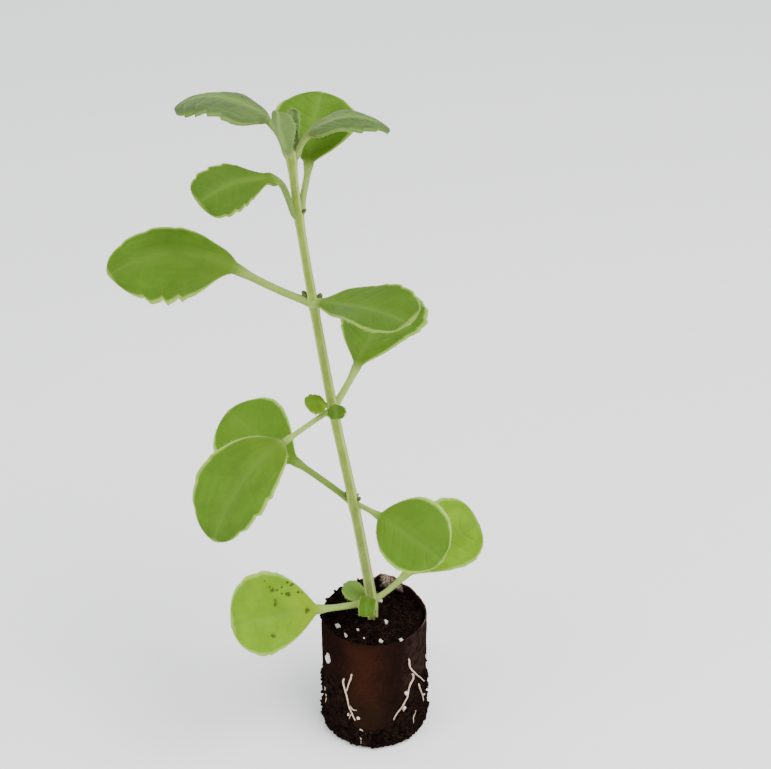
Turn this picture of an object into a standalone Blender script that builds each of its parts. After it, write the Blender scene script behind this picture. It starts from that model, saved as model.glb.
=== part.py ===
"""Potted cuban oregano: a rooted young plant in a paper-sleeved plug of potting soil.

Metres, +Z up. The origin is the centre of the plug's flat underside. +X runs to the right of the
plant's front and +Y away from it. Angles are in degrees; a heading is measured from +X towards +Y.
"""

from collections import namedtuple
import math

import bpy
import numpy as np
from mathutils import Vector, noise

# ---- the plug: a round tube of degradable paper filled with soil ----
PLUG_DIAMETER = 0.040          # outside of the paper
PLUG_HEIGHT = 0.052            # underside of the soil to the paper's rim
PAPER_THICKNESS = 0.00045
# height of the paper's torn lower edge, as (angle from the front or the back, height): the tongue is
# set from the underside, and the sides from the rim
TORN_EDGE = [(0, 0.009), (22, 0.010), (38, PLUG_HEIGHT - 0.024), (52, PLUG_HEIGHT - 0.022),
             (90, PLUG_HEIGHT - 0.028)]
BACK_EDGE_LIFT = 0.005         # how much higher the tongue of paper at the back ends
# how far the rim rises or falls, as (angle round the plug from its front, height)
RIM_EDGE = [(-180, 0.0002), (-165, -0.0002), (-145, -0.0010), (-120, -0.0018), (-98, -0.0017),
            (-78, -0.0005), (-40, 0.0), (0, 0.0), (60, 0.0), (98, -0.0010), (125, -0.0010), (147, -0.0002),
            (156, 0.0017), (173, 0.0022), (180, 0.0002)]
HEADSPACE = 0.0055             # soil surface below the rim
RIM_WAVE = 0.0004              # unevenness of the paper's cut edges
LAP_ANGLE = 24                 # width of the glued lap at the back
SOIL_ROUGHNESS = 0.0005        # depth of the crumbs' hollows on the soil's side
SOIL_LUMPS = 0.0010            # height of the lumps on the soil's top
MOUND_HEIGHT = 0.0022          # how far the soil rises round the stem
MOUND_RADIUS = 0.0065
SOIL_EDGE = 0.0006             # rounding of the soil's bottom edge
PLUG_SIDES = 36
PAPER_SIDES = 48

# ---- the stem ----
STEM_RADIUS_BASE = 0.0021
STEM_RADIUS_MIDDLE = 0.0018
STEM_RADIUS_TOP = 0.0014
NODE_SWELLING = 0.0003         # how far the stem swells where a leaf pair grows
NODE_LENGTH = 0.004            # length of each swelling along the stem
STEM_SIDES = 12

# heights above the soil where the opposite leaf pairs grow, and the stem's tip
PAIR_HEIGHTS = {"lowest": 0.0100, "low": 0.0555, "middle": 0.0965, "upper": 0.1385,
                "high": 0.1710, "top": 0.1915, "bud": 0.1925}
STEM_TIP = 0.1945
# the stem's sideways lean, as (height above the soil, sideways place)
STEM_LEAN = [(-0.0265, 0.0008), (0.0015, -0.0004), (0.0135, -0.0012), (0.0545, -0.0070),
             (0.0965, -0.0139), (0.1385, -0.0198), (0.171, -0.0238), (0.184, -0.0250),
             (0.1945, -0.0257)]

# ---- roots: each one's depth on the buried stem, then its course on the outside of the paper ----
# as (angle round the plug from its front, depth below the rim)
ROOT_RADIUS = 0.00045
ROOT_STANDOFF = 0.00045        # how far a root lies off the paper and the soil's side
ROOT_SIDES = 6
ROOTS = {
    "root_left": (0.020, [(-34, 0.0195), (-31.5, 0.0254), (-28, 0.0305), (-25, 0.0342), (-20.5, 0.0378)]),
    "root_left_small": (0.014, [(-25, 0.0157), (-26.5, 0.0205)]),
    "root_right": (0.012, [(40.5, 0.0111), (43.5, 0.0165), (54, 0.0218), (69.5, 0.0291)]),
    "root_right_inner": (0.022, [(43, 0.0215), (41.5, 0.0233), (39, 0.0272), (36.5, 0.0297), (30.5, 0.0326),
                                 (21, 0.0374)]),
    "root_right_outer": (0.0225, [(57.5, 0.0272), (63, 0.0338), (68, 0.0385)]),
    "root_back": (0.017, [(142, 0.0180), (134, 0.0300), (138, 0.0400)]),
}

# ---- white perlite grains on the soil, as (x, y, radius) ----
GRAIN_SIDES = 8
GRAINS = [(-0.0138, -0.0036, 0.0011), (-0.0106, -0.0084, 0.0009), (0.0042, -0.0024, 0.0010),
          (0.0099, -0.0121, 0.0011), (0.0026, -0.0118, 0.0008), (0.0022, 0.0114, 0.0009)]

GAP = 0.0003                   # clearance between pieces that touch
SHARP_ANGLE = 50               # edges sharper than this are shaded sharp

# ---- leaves ----
PETIOLE_START = 35             # angle at which every petiole leaves the stem
PETIOLE_LIFT_LENGTH = 0.004    # length over which it turns to its own rise
BLADE_THICKNESS = 0.0015
EDGE_THICKNESS = 0.0005
PETIOLE_SECTIONS = 6
BLADE_SECTIONS = 12
LEAF_SIDES = 10

LEAF_GREEN = (0.24, 0.36, 0.055)
LEAF_YELLOW_GREEN = (0.36, 0.44, 0.065)
LEAF_GREY_GREEN = (0.20, 0.28, 0.10)

Leaf = namedtuple("Leaf", (
    "name", "pair",            # the node's name and the leaf pair that it belongs to
    "heading", "rise",         # direction of the petiole round the stem, and its climb
    "petiole", "thickness",    # length and width of the petiole
    "turn", "sweep",           # change of heading at the blade's base, and along the blade
    "pitch", "tip_pitch",      # climb of the blade at its base and at its tip
    "roll",                    # turn of the blade about its own midrib
    "length", "width",         # the blade
    "taper", "bluntness",      # fullness of the blade's base and tip: less is fuller
    "fold",                    # angle by which each half is raised from the midrib
    "lopsided",                # how much wider the left half is than the right one
    "bend",                    # how late along the petiole it bends to the blade
    "teeth", "tooth_depth",    # scallops on each edge, and their depth as a share of the width
    "color"))

LEAVES = [
    Leaf("leaf_lowest_left", "lowest", 207, 7, 0.0233, 0.0024, 0, 8, 16, 8, -58,
         0.0351, 0.0305, 0.84, 0.49, 6, -0.1, 1, 4, 0.05, LEAF_YELLOW_GREEN),
    Leaf("leaf_lowest_right", "lowest", 32, 11, 0.0173, 0.0022, -8, -10, 41, 19, 43,
         0.0330, 0.0270, 0.94, 0.44, 6, 0.1, 1, 4, 0.05, LEAF_YELLOW_GREEN),
    Leaf("leaf_low_left", "low", 145, 19, 0.0276, 0.0024, 0, 3, 14, 26, -25,
         0.0323, 0.0317, 1.08, 0.64, 6, 0.1, 1, 5, 0.05, LEAF_GREEN),
    Leaf("leaf_low_right", "low", 311, 15, 0.0143, 0.0019, 2, 7, 2, -15, 43,
         0.0306, 0.0270, 0.67, 0.56, 4, 0.1, 1, 4, 0.03, LEAF_GREEN),
    Leaf("leaf_middle_left", "middle", 222, -8, 0.0226, 0.0018, -4, 14, -15, -61, -11,
         0.0421, 0.0289, 0.65, 0.62, 8, -0.1, 1, 5, 0.12, LEAF_GREEN),
    Leaf("leaf_middle_right", "middle", 56, 29, 0.0178, 0.0024, 4, -9, 34, 25, -13,
         0.0334, 0.0389, 1.15, 0.62, 4, 0.0, 1, 5, 0.11, LEAF_GREEN),
    Leaf("leaf_upper_left", "upper", 178, 22, 0.0286, 0.0026, 4, 21, 33, -26, -42,
         0.0440, 0.0269, 0.86, 0.62, 6, 0.3, 1, 5, 0.17, LEAF_GREEN),
    Leaf("leaf_upper_right", "upper", 308, 33, 0.0045, 0.0026, 14, 1, 20, -4, 12,
         0.0370, 0.0229, 0.73, 0.32, 10, 0.1, 1, 5, 0.08, LEAF_GREEN),
    Leaf("leaf_high_left", "high", 215, 72, 0.0203, 0.0021, 10, -11, 25, -23, -36,
         0.0287, 0.0179, 1.10, 0.37, 8, 0.1, 6, 5, 0.15, LEAF_GREEN),
    Leaf("leaf_high_right", "high", 57, 84, 0.0182, 0.0022, 26, -13, 46, 35, 2,
         0.0253, 0.0284, 1.00, 0.67, 6, 0.0, 1, 4, 0.09, LEAF_GREEN),
    Leaf("leaf_top_left", "top", 156, 73, 0.0146, 0.0022, 14, 5, 46, -38, 5,
         0.0328, 0.0222, 0.51, 0.63, -6, 0.2, 2, 7, 0.26, LEAF_GREY_GREEN),
    Leaf("leaf_top_right", "top", 357, 75, 0.0110, 0.0022, 10, 3, 41, -46, -2,
         0.0278, 0.0156, 0.42, 0.58, -6, 0.1, 2, 6, 0.22, LEAF_GREY_GREEN),
    Leaf("young_leaf_front", "bud", 240, 72, 0.0030, 0.0020, 0, 0, 66, 80, 0,
         0.0160, 0.0085, 0.80, 0.30, 20, 0.1, 1, 3, 0.14, LEAF_GREY_GREEN),
    Leaf("young_leaf_back", "bud", 70, 75, 0.0030, 0.0014, 0, 0, 78, 84, 0,
         0.0125, 0.0060, 0.56, 0.42, 30, 0.0, 1, 4, 0.22, LEAF_GREY_GREEN),
    Leaf("shoot_leaf_left", "middle", 189, 35, 0.0035, 0.0013, 20, 3, 32, 4, -34,
         0.0081, 0.0077, 0.47, 0.36, 6, 0.1, 1, 3, 0.34, LEAF_YELLOW_GREEN),
    Leaf("shoot_leaf_right", "middle", 278, 80, 0.0058, 0.0013, 0, 1, 5, -30, 8,
         0.0066, 0.0068, 0.60, 0.42, 6, 0.1, 3, 3, 0.32, LEAF_GREEN),
    Leaf("base_shoot_back", "lowest", 160, -16, 0.0032, 0.0014, 0, 0, 30, 18, -16,
         0.0092, 0.0084, 0.54, 0.43, 6, 0.0, 1, 3, 0.24, LEAF_YELLOW_GREEN),
    Leaf("base_shoot_front", "lowest", 258, 61, 0.0062, 0.0018, 0, 7, 44, -83, -8,
         0.0090, 0.0064, 0.25, 0.18, 6, 0.0, 1, 3, 0.14, LEAF_GREEN),
]

# ---- sizes that follow ----
PLUG_RADIUS = PLUG_DIAMETER / 2
PAPER_BORE = PLUG_RADIUS - PAPER_THICKNESS
SOIL_RADIUS = PAPER_BORE - GAP
SOIL_TOP = PLUG_HEIGHT - HEADSPACE


def clear_scene():
    """Remove whatever the scene holds at the start."""
    for old in list(bpy.data.objects):
        bpy.data.objects.remove(old)


def make_material(name, color, roughness):
    """A plain Principled material."""
    material = bpy.data.materials.new(name)
    material.use_nodes = True
    shader = material.node_tree.nodes["Principled BSDF"]
    shader.inputs["Base Color"].default_value = (*color, 1.0)
    shader.inputs["Roughness"].default_value = roughness
    shader.inputs["Metallic"].default_value = 0.0
    material.diffuse_color = (*color, 1.0)
    return material


def make_body(name, points, faces, material=None):
    """An object from points and faces, shaded smooth but for its sharp edges."""
    mesh = bpy.data.meshes.new(name)
    mesh.from_pydata([tuple(p) for p in points], [], faces)
    mesh.update()
    mesh.shade_smooth()
    mesh.set_sharp_from_angle(angle=math.radians(SHARP_ANGLE))
    if material:
        mesh.materials.append(material)
    body = bpy.data.objects.new(name, mesh)
    bpy.context.scene.collection.objects.link(body)
    return body


def loft(name, rings, material=None):
    """A closed solid through rings of points, each end closed by a fan about its middle."""
    rings = np.asarray(rings, float)
    count, sides = rings.shape[:2]
    points = np.vstack([rings.reshape(-1, 3), rings[0].mean(axis=0), rings[-1].mean(axis=0)])
    first, last = count * sides, count * sides + 1
    faces = []
    for k in range(sides):
        n = (k + 1) % sides
        faces += [(r * sides + k, r * sides + n, (r + 1) * sides + n, (r + 1) * sides + k)
                  for r in range(count - 1)]
        faces.append((first, n, k))
        faces.append((last, (count - 1) * sides + k, (count - 1) * sides + n))
    return make_body(name, points, faces, material)


def hide_cutter(body):
    """Mark a body as a cutter: drawn as wire and left out of the model."""
    body.hide_render = True
    body.display_type = "WIRE"
    return body


def cut(body, cutter):
    """Take the cutter's volume out of the body."""
    modifier = body.modifiers.new("clear_" + cutter.name, "BOOLEAN")
    modifier.operation = "DIFFERENCE"
    modifier.solver = "EXACT"
    modifier.object = cutter


def smooth_curve(points, per_span=4):
    """Points along a Catmull-Rom curve through the given ones."""
    points = np.asarray(points, float)
    padded = np.vstack([2 * points[0] - points[1], points, 2 * points[-1] - points[-2]])
    curve = []
    for i in range(1, len(padded) - 2):
        a, b, c, d = padded[i - 1:i + 3]
        for t in np.arange(per_span) / per_span:
            curve.append(0.5 * (2 * b + (c - a) * t + (2 * a - 5 * b + 4 * c - d) * t**2
                                + (3 * b - a - 3 * c + d) * t**3))
    curve.append(padded[-2])
    return np.array(curve)


def tube_rings(path, radii, sides):
    """Rings of points round a path, carried along it without twisting."""
    tangents = np.gradient(path, axis=0)
    side = Vector((0, 1, 0.01))
    rings = []
    for centre, tangent, radius in zip(path, tangents, radii):
        along = Vector(tangent).normalized()
        side = (side - along * side.dot(along)).normalized()
        other = along.cross(side)
        angles = 2 * np.pi * np.arange(sides) / sides
        rings.append([centre + radius * (math.cos(a) * np.array(side) + math.sin(a) * np.array(other))
                      for a in angles])
    return rings


# ---- stem ----

def stem_path():
    """The stem's centre line, from its buried end to its tip."""
    return smooth_curve([(x, 0, SOIL_TOP + height) for height, x in STEM_LEAN])


def stem_point(height):
    """The centre of the stem at a height above the soil."""
    path = stem_path()
    z = SOIL_TOP + height
    return np.array([np.interp(z, path[:, 2], path[:, 0]), 0.0, z])


def stem_radii(path, extra):
    """The stem's radius at each point of its path: a slow taper with a swelling at each leaf pair."""
    heights = path[:, 2] - SOIL_TOP
    radii = np.interp(heights, [0, PAIR_HEIGHTS["middle"], STEM_TIP],
                      [STEM_RADIUS_BASE, STEM_RADIUS_MIDDLE, STEM_RADIUS_TOP])
    for height in PAIR_HEIGHTS.values():
        radii = radii + NODE_SWELLING * np.exp(-((heights - height) / NODE_LENGTH)**2)
    return radii + extra


def build_stem():
    """The stem, and the cutter that clears every piece that meets it."""
    path = stem_path()
    green = make_material("stem_green", (0.42, 0.47, 0.14), 0.6)
    loft("main_stem", tube_rings(path, stem_radii(path, 0), STEM_SIDES), green)
    longer = np.vstack([path[0] - (0, 0, GAP), path[1:-1], path[-1] + (0, 0, GAP)])
    return hide_cutter(loft("stem_cutter", tube_rings(longer, stem_radii(path, GAP), STEM_SIDES)))


# ---- leaves ----

def direction(heading, pitch):
    """The unit vector of a heading and a climb, both in radians."""
    return np.stack([np.cos(pitch) * np.cos(heading), np.cos(pitch) * np.sin(heading), np.sin(pitch)], -1)


def ease(t):
    """A smooth step from 0 to 1."""
    t = np.clip(t, 0, 1)
    return t * t * (3 - 2 * t)


def leaf_rings(leaf):
    """Rings from the petiole's root on the stem's centre line to the tip of the blade."""
    along_blade = (1 - np.cos(np.linspace(0, np.pi, BLADE_SECTIONS))) / 2
    along_petiole = np.arange(PETIOLE_SECTIONS) / PETIOLE_SECTIONS
    s = np.concatenate([along_petiole * leaf.petiole, leaf.petiole + along_blade * leaf.length])
    u = np.clip(s / leaf.petiole, 0, 1)
    t = np.clip((s - leaf.petiole) / leaf.length, 0, 1)

    start = min(leaf.rise, PETIOLE_START)
    rise = start + (leaf.rise - start) * ease(s / PETIOLE_LIFT_LENGTH)
    pitch = rise + (leaf.pitch - rise) * ease(u)**leaf.bend + (leaf.tip_pitch - leaf.pitch) * t
    spread = ease((u - 0.3) / 0.7)
    heading = np.radians(leaf.heading + leaf.turn * spread + leaf.sweep * t)
    pitch, roll = np.radians(pitch), np.radians(leaf.roll * spread)

    tangent = direction(heading, pitch)
    steps = (tangent[1:] + tangent[:-1]) / 2 * np.diff(s)[:, None]
    midrib = stem_point(PAIR_HEIGHTS[leaf.pair]) + np.vstack([np.zeros(3), np.cumsum(steps, axis=0)])
    level = np.stack([-np.sin(heading), np.cos(heading), 0 * heading], -1)
    upright = np.cross(tangent, level)
    side = level * np.cos(roll)[:, None] + upright * np.sin(roll)[:, None]
    top = np.cross(tangent, side)

    peak = leaf.taper / (leaf.taper + leaf.bluntness)
    fullest = peak**leaf.taper * (1 - peak)**leaf.bluntness
    outline = np.maximum(t, 0)**leaf.taper * np.maximum(1 - t, 0)**leaf.bluntness / fullest
    scallop = np.abs(np.sin(np.pi * leaf.teeth * np.clip((t - 0.25) / 0.75, 0, 1)))
    half = leaf.width / 2 * outline * (1 - leaf.tooth_depth * (1 - scallop) * np.sqrt(t))
    neck = leaf.thickness / 2 * (1 + 0.6 * np.exp(-((s - leaf.petiole) / (0.1 * leaf.length))**2))
    half = np.maximum(half, np.where(t < 1, neck, EDGE_THICKNESS))
    blade = ease(t / 0.2)
    thick = leaf.thickness / 2 + (BLADE_THICKNESS / 2 - leaf.thickness / 2) * blade
    thick = thick + (EDGE_THICKNESS / 2 - thick) * ease((t - 0.7) / 0.3)

    angles = 2 * np.pi * np.arange(LEAF_SIDES) / LEAF_SIDES
    across, up = np.cos(angles), np.sin(angles)
    fold = math.radians(leaf.fold) * outline
    half = half[:, None] * (1 + leaf.lopsided * blade[:, None] * np.sign(across)[None])
    raised = np.abs(across)[None] * half * np.sin(fold)[:, None] + up[None] * thick[:, None]
    spread_out = across[None] * half * np.cos(fold)[:, None]
    return midrib[:, None] + side[:, None] * spread_out[..., None] + top[:, None] * raised[..., None]


def build_leaves(stem_cutter):
    """Every leaf, cut flush with the stem."""
    for leaf in LEAVES:
        body = loft(leaf.name, leaf_rings(leaf), make_material(leaf.name, leaf.color, 0.62))
        cut(body, stem_cutter)


# ---- roots ----

def root_path(depth, course):
    """A root's centre line: from the buried stem, out through the paper, then down its outside."""
    outside = PLUG_RADIUS + ROOT_STANDOFF + ROOT_RADIUS

    def place(angle, radius, height):
        return (radius * math.sin(math.radians(angle)), -radius * math.cos(math.radians(angle)), height)

    course = [(angle, PLUG_HEIGHT - below_rim) for angle, below_rim in course]
    first_angle, first_height = course[0]
    foot = stem_point(-depth)
    inner = place(first_angle, 0.5 * PLUG_RADIUS, 0.5 * (foot[2] + first_height))
    crossing = place(first_angle, PLUG_RADIUS - 2 * ROOT_RADIUS, first_height)
    points = [tuple(foot), inner, crossing, place(first_angle, outside, first_height - 4 * ROOT_RADIUS)]
    points += [place(angle, outside, height) for angle, height in course[1:]]
    return smooth_curve(points)


def build_roots(stem_cutter):
    """The roots that show on the paper, and their cutters."""
    pale = make_material("root_cream", (0.72, 0.62, 0.48), 0.7)
    cutters = []
    for name, (depth, course) in ROOTS.items():
        path = root_path(depth, course)
        taper = np.linspace(1.0, 0.7, len(path))
        body = loft(name, tube_rings(path, ROOT_RADIUS * taper, ROOT_SIDES), pale)
        cut(body, stem_cutter)
        clear = tube_rings(path, ROOT_RADIUS * taper + GAP, ROOT_SIDES)
        cutters.append(hide_cutter(loft(name + "_cutter", clear)))
    return cutters


# ---- soil, paper and perlite ----

def ring(radii, heights, sides):
    """A level ring of points, whose radius and height may change round it."""
    angles = 2 * np.pi * np.arange(sides) / sides
    return np.stack([radii * np.cos(angles), radii * np.sin(angles), heights + 0 * angles], -1)


def lumps(points, size, seed):
    """Smooth noise between 0 and 1 at each point, with lumps of the given size."""
    offset = Vector((seed, 0, 0))
    return np.array([0.5 + 0.5 * noise.noise(Vector(p) / size + offset) for p in points])


def mound(x, y):
    """How far the soil rises towards the stem at a place."""
    return MOUND_HEIGHT * np.exp(-(np.square(x) + np.square(y)) / MOUND_RADIUS**2)


def build_soil(cutters):
    """The soil: a rough cylinder with a lumpy top and a flat underside, as wide as the paper."""
    brown = make_material("soil_dark", (0.035, 0.022, 0.016), 0.95)
    rings = [ring(0.6 * PLUG_RADIUS, 0.0, PLUG_SIDES), ring(PLUG_RADIUS - SOIL_EDGE, 0.0, PLUG_SIDES)]
    for share in (0.03, 0.14, 0.28, 0.42, 0.56, 0.80, 0.98):
        plain = ring(PLUG_RADIUS, share * SOIL_TOP, PLUG_SIDES)
        hollow = SOIL_ROUGHNESS * lumps(plain, 0.004, 3.0)
        rings.append(ring(PLUG_RADIUS - hollow, share * SOIL_TOP, PLUG_SIDES))
    for share in (0.93, 0.72, 0.52, 0.36, 0.22, 0.08):
        level = ring(share * SOIL_RADIUS, SOIL_TOP, PLUG_SIDES)
        level[:, 2] += SOIL_LUMPS * (lumps(level, 0.006, 7.0) - 0.5) + mound(level[:, 0], level[:, 1])
        rings.append(level)
    body = loft("soil_plug", rings, brown)
    for cutter in cutters:
        cut(body, cutter)


def paper_tube(name, lower_edge, upper_edge, outside, inside, material=None):
    """An open tube whose edges and radii may change round it."""
    levels = [lower_edge, (lower_edge + upper_edge) / 2, upper_edge]
    outer = [ring(outside, level, PAPER_SIDES) for level in levels]
    inner = [ring(inside, level, PAPER_SIDES) for level in reversed(levels)]
    rings = np.array(outer + inner)
    count = len(rings)
    faces = []
    for r in range(count):
        below, above = r * PAPER_SIDES, (r + 1) % count * PAPER_SIDES
        for k in range(PAPER_SIDES):
            n = (k + 1) % PAPER_SIDES
            faces.append((below + k, below + n, above + n, above + k))
    return make_body(name, rings.reshape(-1, 3), faces, material)


def torn_edge(angles):
    """The height of the paper's lower edge at each angle: a tongue in front and one at the back."""
    from_front = np.abs((np.degrees(angles) + 90 + 180) % 360 - 180)
    folded = np.where(from_front > 90, 180 - from_front, from_front)
    known_angles, heights = zip(*TORN_EDGE)
    lift = np.where(from_front > 90, BACK_EDGE_LIFT * (1 - folded / 90), 0)
    return np.interp(folded, known_angles, heights) + lift


def build_paper(root_cutters):
    """The paper sleeve, torn away below at its sides, and the cutter that clears the soil from it."""
    brown = make_material("paper_brown", (0.085, 0.035, 0.022), 0.8)
    angles = 2 * np.pi * np.arange(PAPER_SIDES) / PAPER_SIDES
    from_back = np.degrees(np.abs(angles - np.pi / 2))
    lap = np.where(from_back < LAP_ANGLE / 2, PAPER_THICKNESS, 0.0)
    wave = RIM_WAVE * np.array([noise.noise(Vector((3 * math.cos(a), 3 * math.sin(a), 5))) for a in angles])
    lower_edge = torn_edge(angles) + wave
    from_front = (np.degrees(angles) + 90 + 180) % 360 - 180
    upper_edge = PLUG_HEIGHT - RIM_WAVE + wave + np.interp(from_front, *zip(*RIM_EDGE))
    body = paper_tube("paper_sleeve", lower_edge, upper_edge, PLUG_RADIUS + lap, PAPER_BORE, brown)
    for cutter in root_cutters:
        cut(body, cutter)
    wide = PLUG_RADIUS + 2 * PAPER_THICKNESS
    return hide_cutter(paper_tube("paper_cutter", lower_edge - 2 * GAP, upper_edge + GAP, wide, SOIL_RADIUS))


def grain_rings(x, y, radius, seed):
    """An uneven ball of rings about a place on the soil's surface."""
    centre = np.array([x, y, SOIL_TOP + mound(x, y) + 0.2 * radius])
    rings = []
    for latitude in np.radians((-65, -30, 5, 40, 70)):
        plain = ring(radius * math.cos(latitude), 0.8 * radius * math.sin(latitude), GRAIN_SIDES)
        swell = 0.8 + 0.4 * lumps(plain, 1.2 * radius, seed)
        rings.append(centre + plain * swell[:, None])
    return rings


def build_grains():
    """The perlite grains, each half sunk in the soil, and their cutters."""
    white = make_material("perlite_white", (0.80, 0.77, 0.72), 0.9)
    cutters = []
    for index, (x, y, radius) in enumerate(GRAINS, start=1):
        name = f"perlite_grain_{index}"
        rings = np.array(grain_rings(x, y, radius, 11.0 * index))
        loft(name, rings, white)
        centre = rings.reshape(-1, 3).mean(axis=0)
        grown = centre + (rings - centre) * (1 + 1.8 * GAP / radius)
        cutters.append(hide_cutter(loft(name + "_cutter", grown)))
    return cutters


def main():
    """Model the plant, its plug and its roots."""
    clear_scene()
    stem_cutter = build_stem()
    build_leaves(stem_cutter)
    root_cutters = build_roots(stem_cutter)
    grain_cutters = build_grains()
    paper_cutter = build_paper(root_cutters)
    build_soil([stem_cutter, paper_cutter] + root_cutters + grain_cutters)


main()
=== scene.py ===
"""The finished look of a potted cuban oregano, built round its solid model.

Metres, +Z up. Angles in the tables are in degrees; a heading is measured from +X towards +Y.
"""

from collections import namedtuple
import math

import bpy
import numpy as np
from bpy.props import FloatProperty, FloatVectorProperty, IntProperty, PointerProperty
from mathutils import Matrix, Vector, noise


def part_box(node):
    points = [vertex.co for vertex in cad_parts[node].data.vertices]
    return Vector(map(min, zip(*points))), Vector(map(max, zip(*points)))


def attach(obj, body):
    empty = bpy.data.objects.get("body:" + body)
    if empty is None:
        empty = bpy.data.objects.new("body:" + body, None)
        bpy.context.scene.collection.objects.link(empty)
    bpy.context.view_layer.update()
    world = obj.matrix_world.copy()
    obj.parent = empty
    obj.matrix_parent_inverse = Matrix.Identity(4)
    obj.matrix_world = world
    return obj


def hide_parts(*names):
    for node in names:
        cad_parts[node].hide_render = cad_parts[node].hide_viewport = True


bl_info = {
    "name": "Potted Cuban Oregano",
    "version": (1, 0, 0),
    "blender": (4, 5, 0),
    "location": "View3D > Sidebar > Oregano",
    "description": "Grows a young velvety herb in a paper-sleeved plug of soil",
    "category": "Object",
}

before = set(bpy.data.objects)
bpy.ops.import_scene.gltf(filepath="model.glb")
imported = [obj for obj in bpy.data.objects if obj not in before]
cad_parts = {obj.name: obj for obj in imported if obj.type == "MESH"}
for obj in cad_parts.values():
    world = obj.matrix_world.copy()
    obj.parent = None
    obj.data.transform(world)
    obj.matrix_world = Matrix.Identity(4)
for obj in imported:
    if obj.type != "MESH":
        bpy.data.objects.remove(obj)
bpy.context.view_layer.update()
PAPER_LOW, PAPER_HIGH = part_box("paper_sleeve")

# ---- the plug ----
PLUG_RADIUS = (PAPER_HIGH.x - PAPER_LOW.x) / 2
PLUG_HEIGHT = 0.052            # underside to rim
SOIL_TOP = 0.0465              # underside to the soil's surface
PAPER_THICKNESS = 0.0004
MOUND_HEIGHT = 0.0022          # how far the soil rises to the stem
MOUND_RADIUS = 0.0065
# height of the paper's torn lower edge, as (angle from the front or the back, height)
TORN_EDGE = [(0, 0.009), (22, 0.010), (38, 0.028), (52, 0.030), (90, 0.024)]
BACK_EDGE_LIFT = 0.005         # how much higher that edge is at the back
# how far the rim rises or falls, as (angle round the plug, height)
RIM_EDGE = [(-180, 0.0002), (-165, -0.0002), (-145, -0.0010), (-120, -0.0018), (-98, -0.0017),
            (-78, -0.0005), (-40, 0.0), (60, 0.0), (98, -0.0010), (125, -0.0010), (147, -0.0002),
            (156, 0.0017), (173, 0.0022), (180, 0.0002)]

# ---- the stem: heights above the soil ----
PAIR_HEIGHTS = {"lowest": 0.0100, "low": 0.0555, "middle": 0.0965, "upper": 0.1385,
                "high": 0.1710, "top": 0.1915, "bud": 0.1925}
STEM_TIP = 0.1945
# the stem's lean, as (height, distance to the right)
STEM_LEAN = [(-0.0265, 0.0008), (0.0015, -0.0004), (0.0135, -0.0012), (0.0545, -0.0070),
             (0.0965, -0.0139), (0.1385, -0.0198), (0.171, -0.0238), (0.184, -0.0250), (0.1945, -0.0257)]

# side buds in the leaf angles: leaf pair, heading and length
NODE_BUDS = [("low", 150, 0.0020), ("low", 330, 0.0018), ("low", 40, 0.0012), ("upper", 165, 0.0024),
             ("upper", 345, 0.0020), ("upper", 20, 0.0016), ("high", 150, 0.0016), ("high", 330, 0.0016)]

# ---- roots: each one's depth on the buried stem, then (angle round the plug, height) ----
ROOT_RADIUS = 0.00045
ROOT_STANDOFF = 0.00045
ROOTS = {
    "root_left": (0.020, [(-34, 0.0325), (-31.5, 0.0266), (-28, 0.0215), (-25, 0.0178), (-20.5, 0.0142)]),
    "root_left_small": (0.014, [(-25, 0.0363), (-27, 0.0322), (-30.5, 0.0275)]),
    "root_right": (0.012, [(40.5, 0.0409), (43.5, 0.0355), (54, 0.0302), (69.5, 0.0229)]),
    "root_right_inner": (0.022, [(46, 0.0325), (41.5, 0.0287), (39, 0.0248), (36.5, 0.0223), (30.5, 0.0194),
                                 (21, 0.0146)]),
    "root_right_outer": (0.0225, [(57.5, 0.0248), (63, 0.0182), (68, 0.0135)]),
    "root_back": (0.017, [(142, 0.034), (134, 0.022), (138, 0.012)]),
}
# short ends of finer roots low on the plug, as (angle, height) along each
ROOTLETS = [[(-16, 0.0097), (-12.5, 0.0090), (-9, 0.0077)], [(-16, 0.0058), (-14.5, 0.0045), (-14.5, 0.0022)],
            [(-27, 0.0203), (-23, 0.0188), (-19, 0.0190)], [(36, 0.0215), (33, 0.0180), (34.5, 0.0160)],
            [(-24, 0.0168), (-27, 0.0150), (-28, 0.0135)], [(52, 0.0125), (48, 0.0100), (49, 0.0070)],
            [(-70, 0.0200), (-66, 0.0160), (-69, 0.0120)], [(150, 0.0300), (158, 0.0240), (155, 0.0190)],
            [(-130, 0.0260), (-124, 0.0200), (-128, 0.0150)], [(100, 0.0150), (106, 0.0110), (104, 0.0080)]]

# ---- perlite grains on the soil, as (x, y, radius) ----
GRAINS = [(-0.0138, -0.0036, 0.0011), (-0.0106, -0.0084, 0.0009), (0.0042, -0.0024, 0.0010),
          (0.0099, -0.0121, 0.0011), (0.0026, -0.0118, 0.0008), (0.0022, 0.0114, 0.0009)]
# smaller grains, as (x, y, radius), and those in the plug's side, as (angle, height, radius, tallness)
SMALL_GRAINS = [(-0.0060, -0.0058, 0.0005), (-0.0037, -0.0100, 0.0004), (0.0010, 0.0140, 0.0004),
                (-0.0100, 0.0080, 0.0005)]
SIDE_GRAINS = [(-58, 0.0379, 0.0011, 1.9), (37, 0.0250, 0.0009, 1.0), (34.5, 0.0180, 0.0007, 1.0),
               (-58, 0.0042, 0.0006, 1.0), (78, 0.0330, 0.0006, 1.2), (-29, 0.0155, 0.0005, 1.0),
               (-17.5, 0.0152, 0.0006, 1.0), (70, 0.0160, 0.0005, 1.0), (160, 0.0100, 0.0009, 1.0),
               (-140, 0.0150, 0.0008, 1.3), (115, 0.0190, 0.0007, 1.0), (-100, 0.0110, 0.0008, 1.0)]

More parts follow.
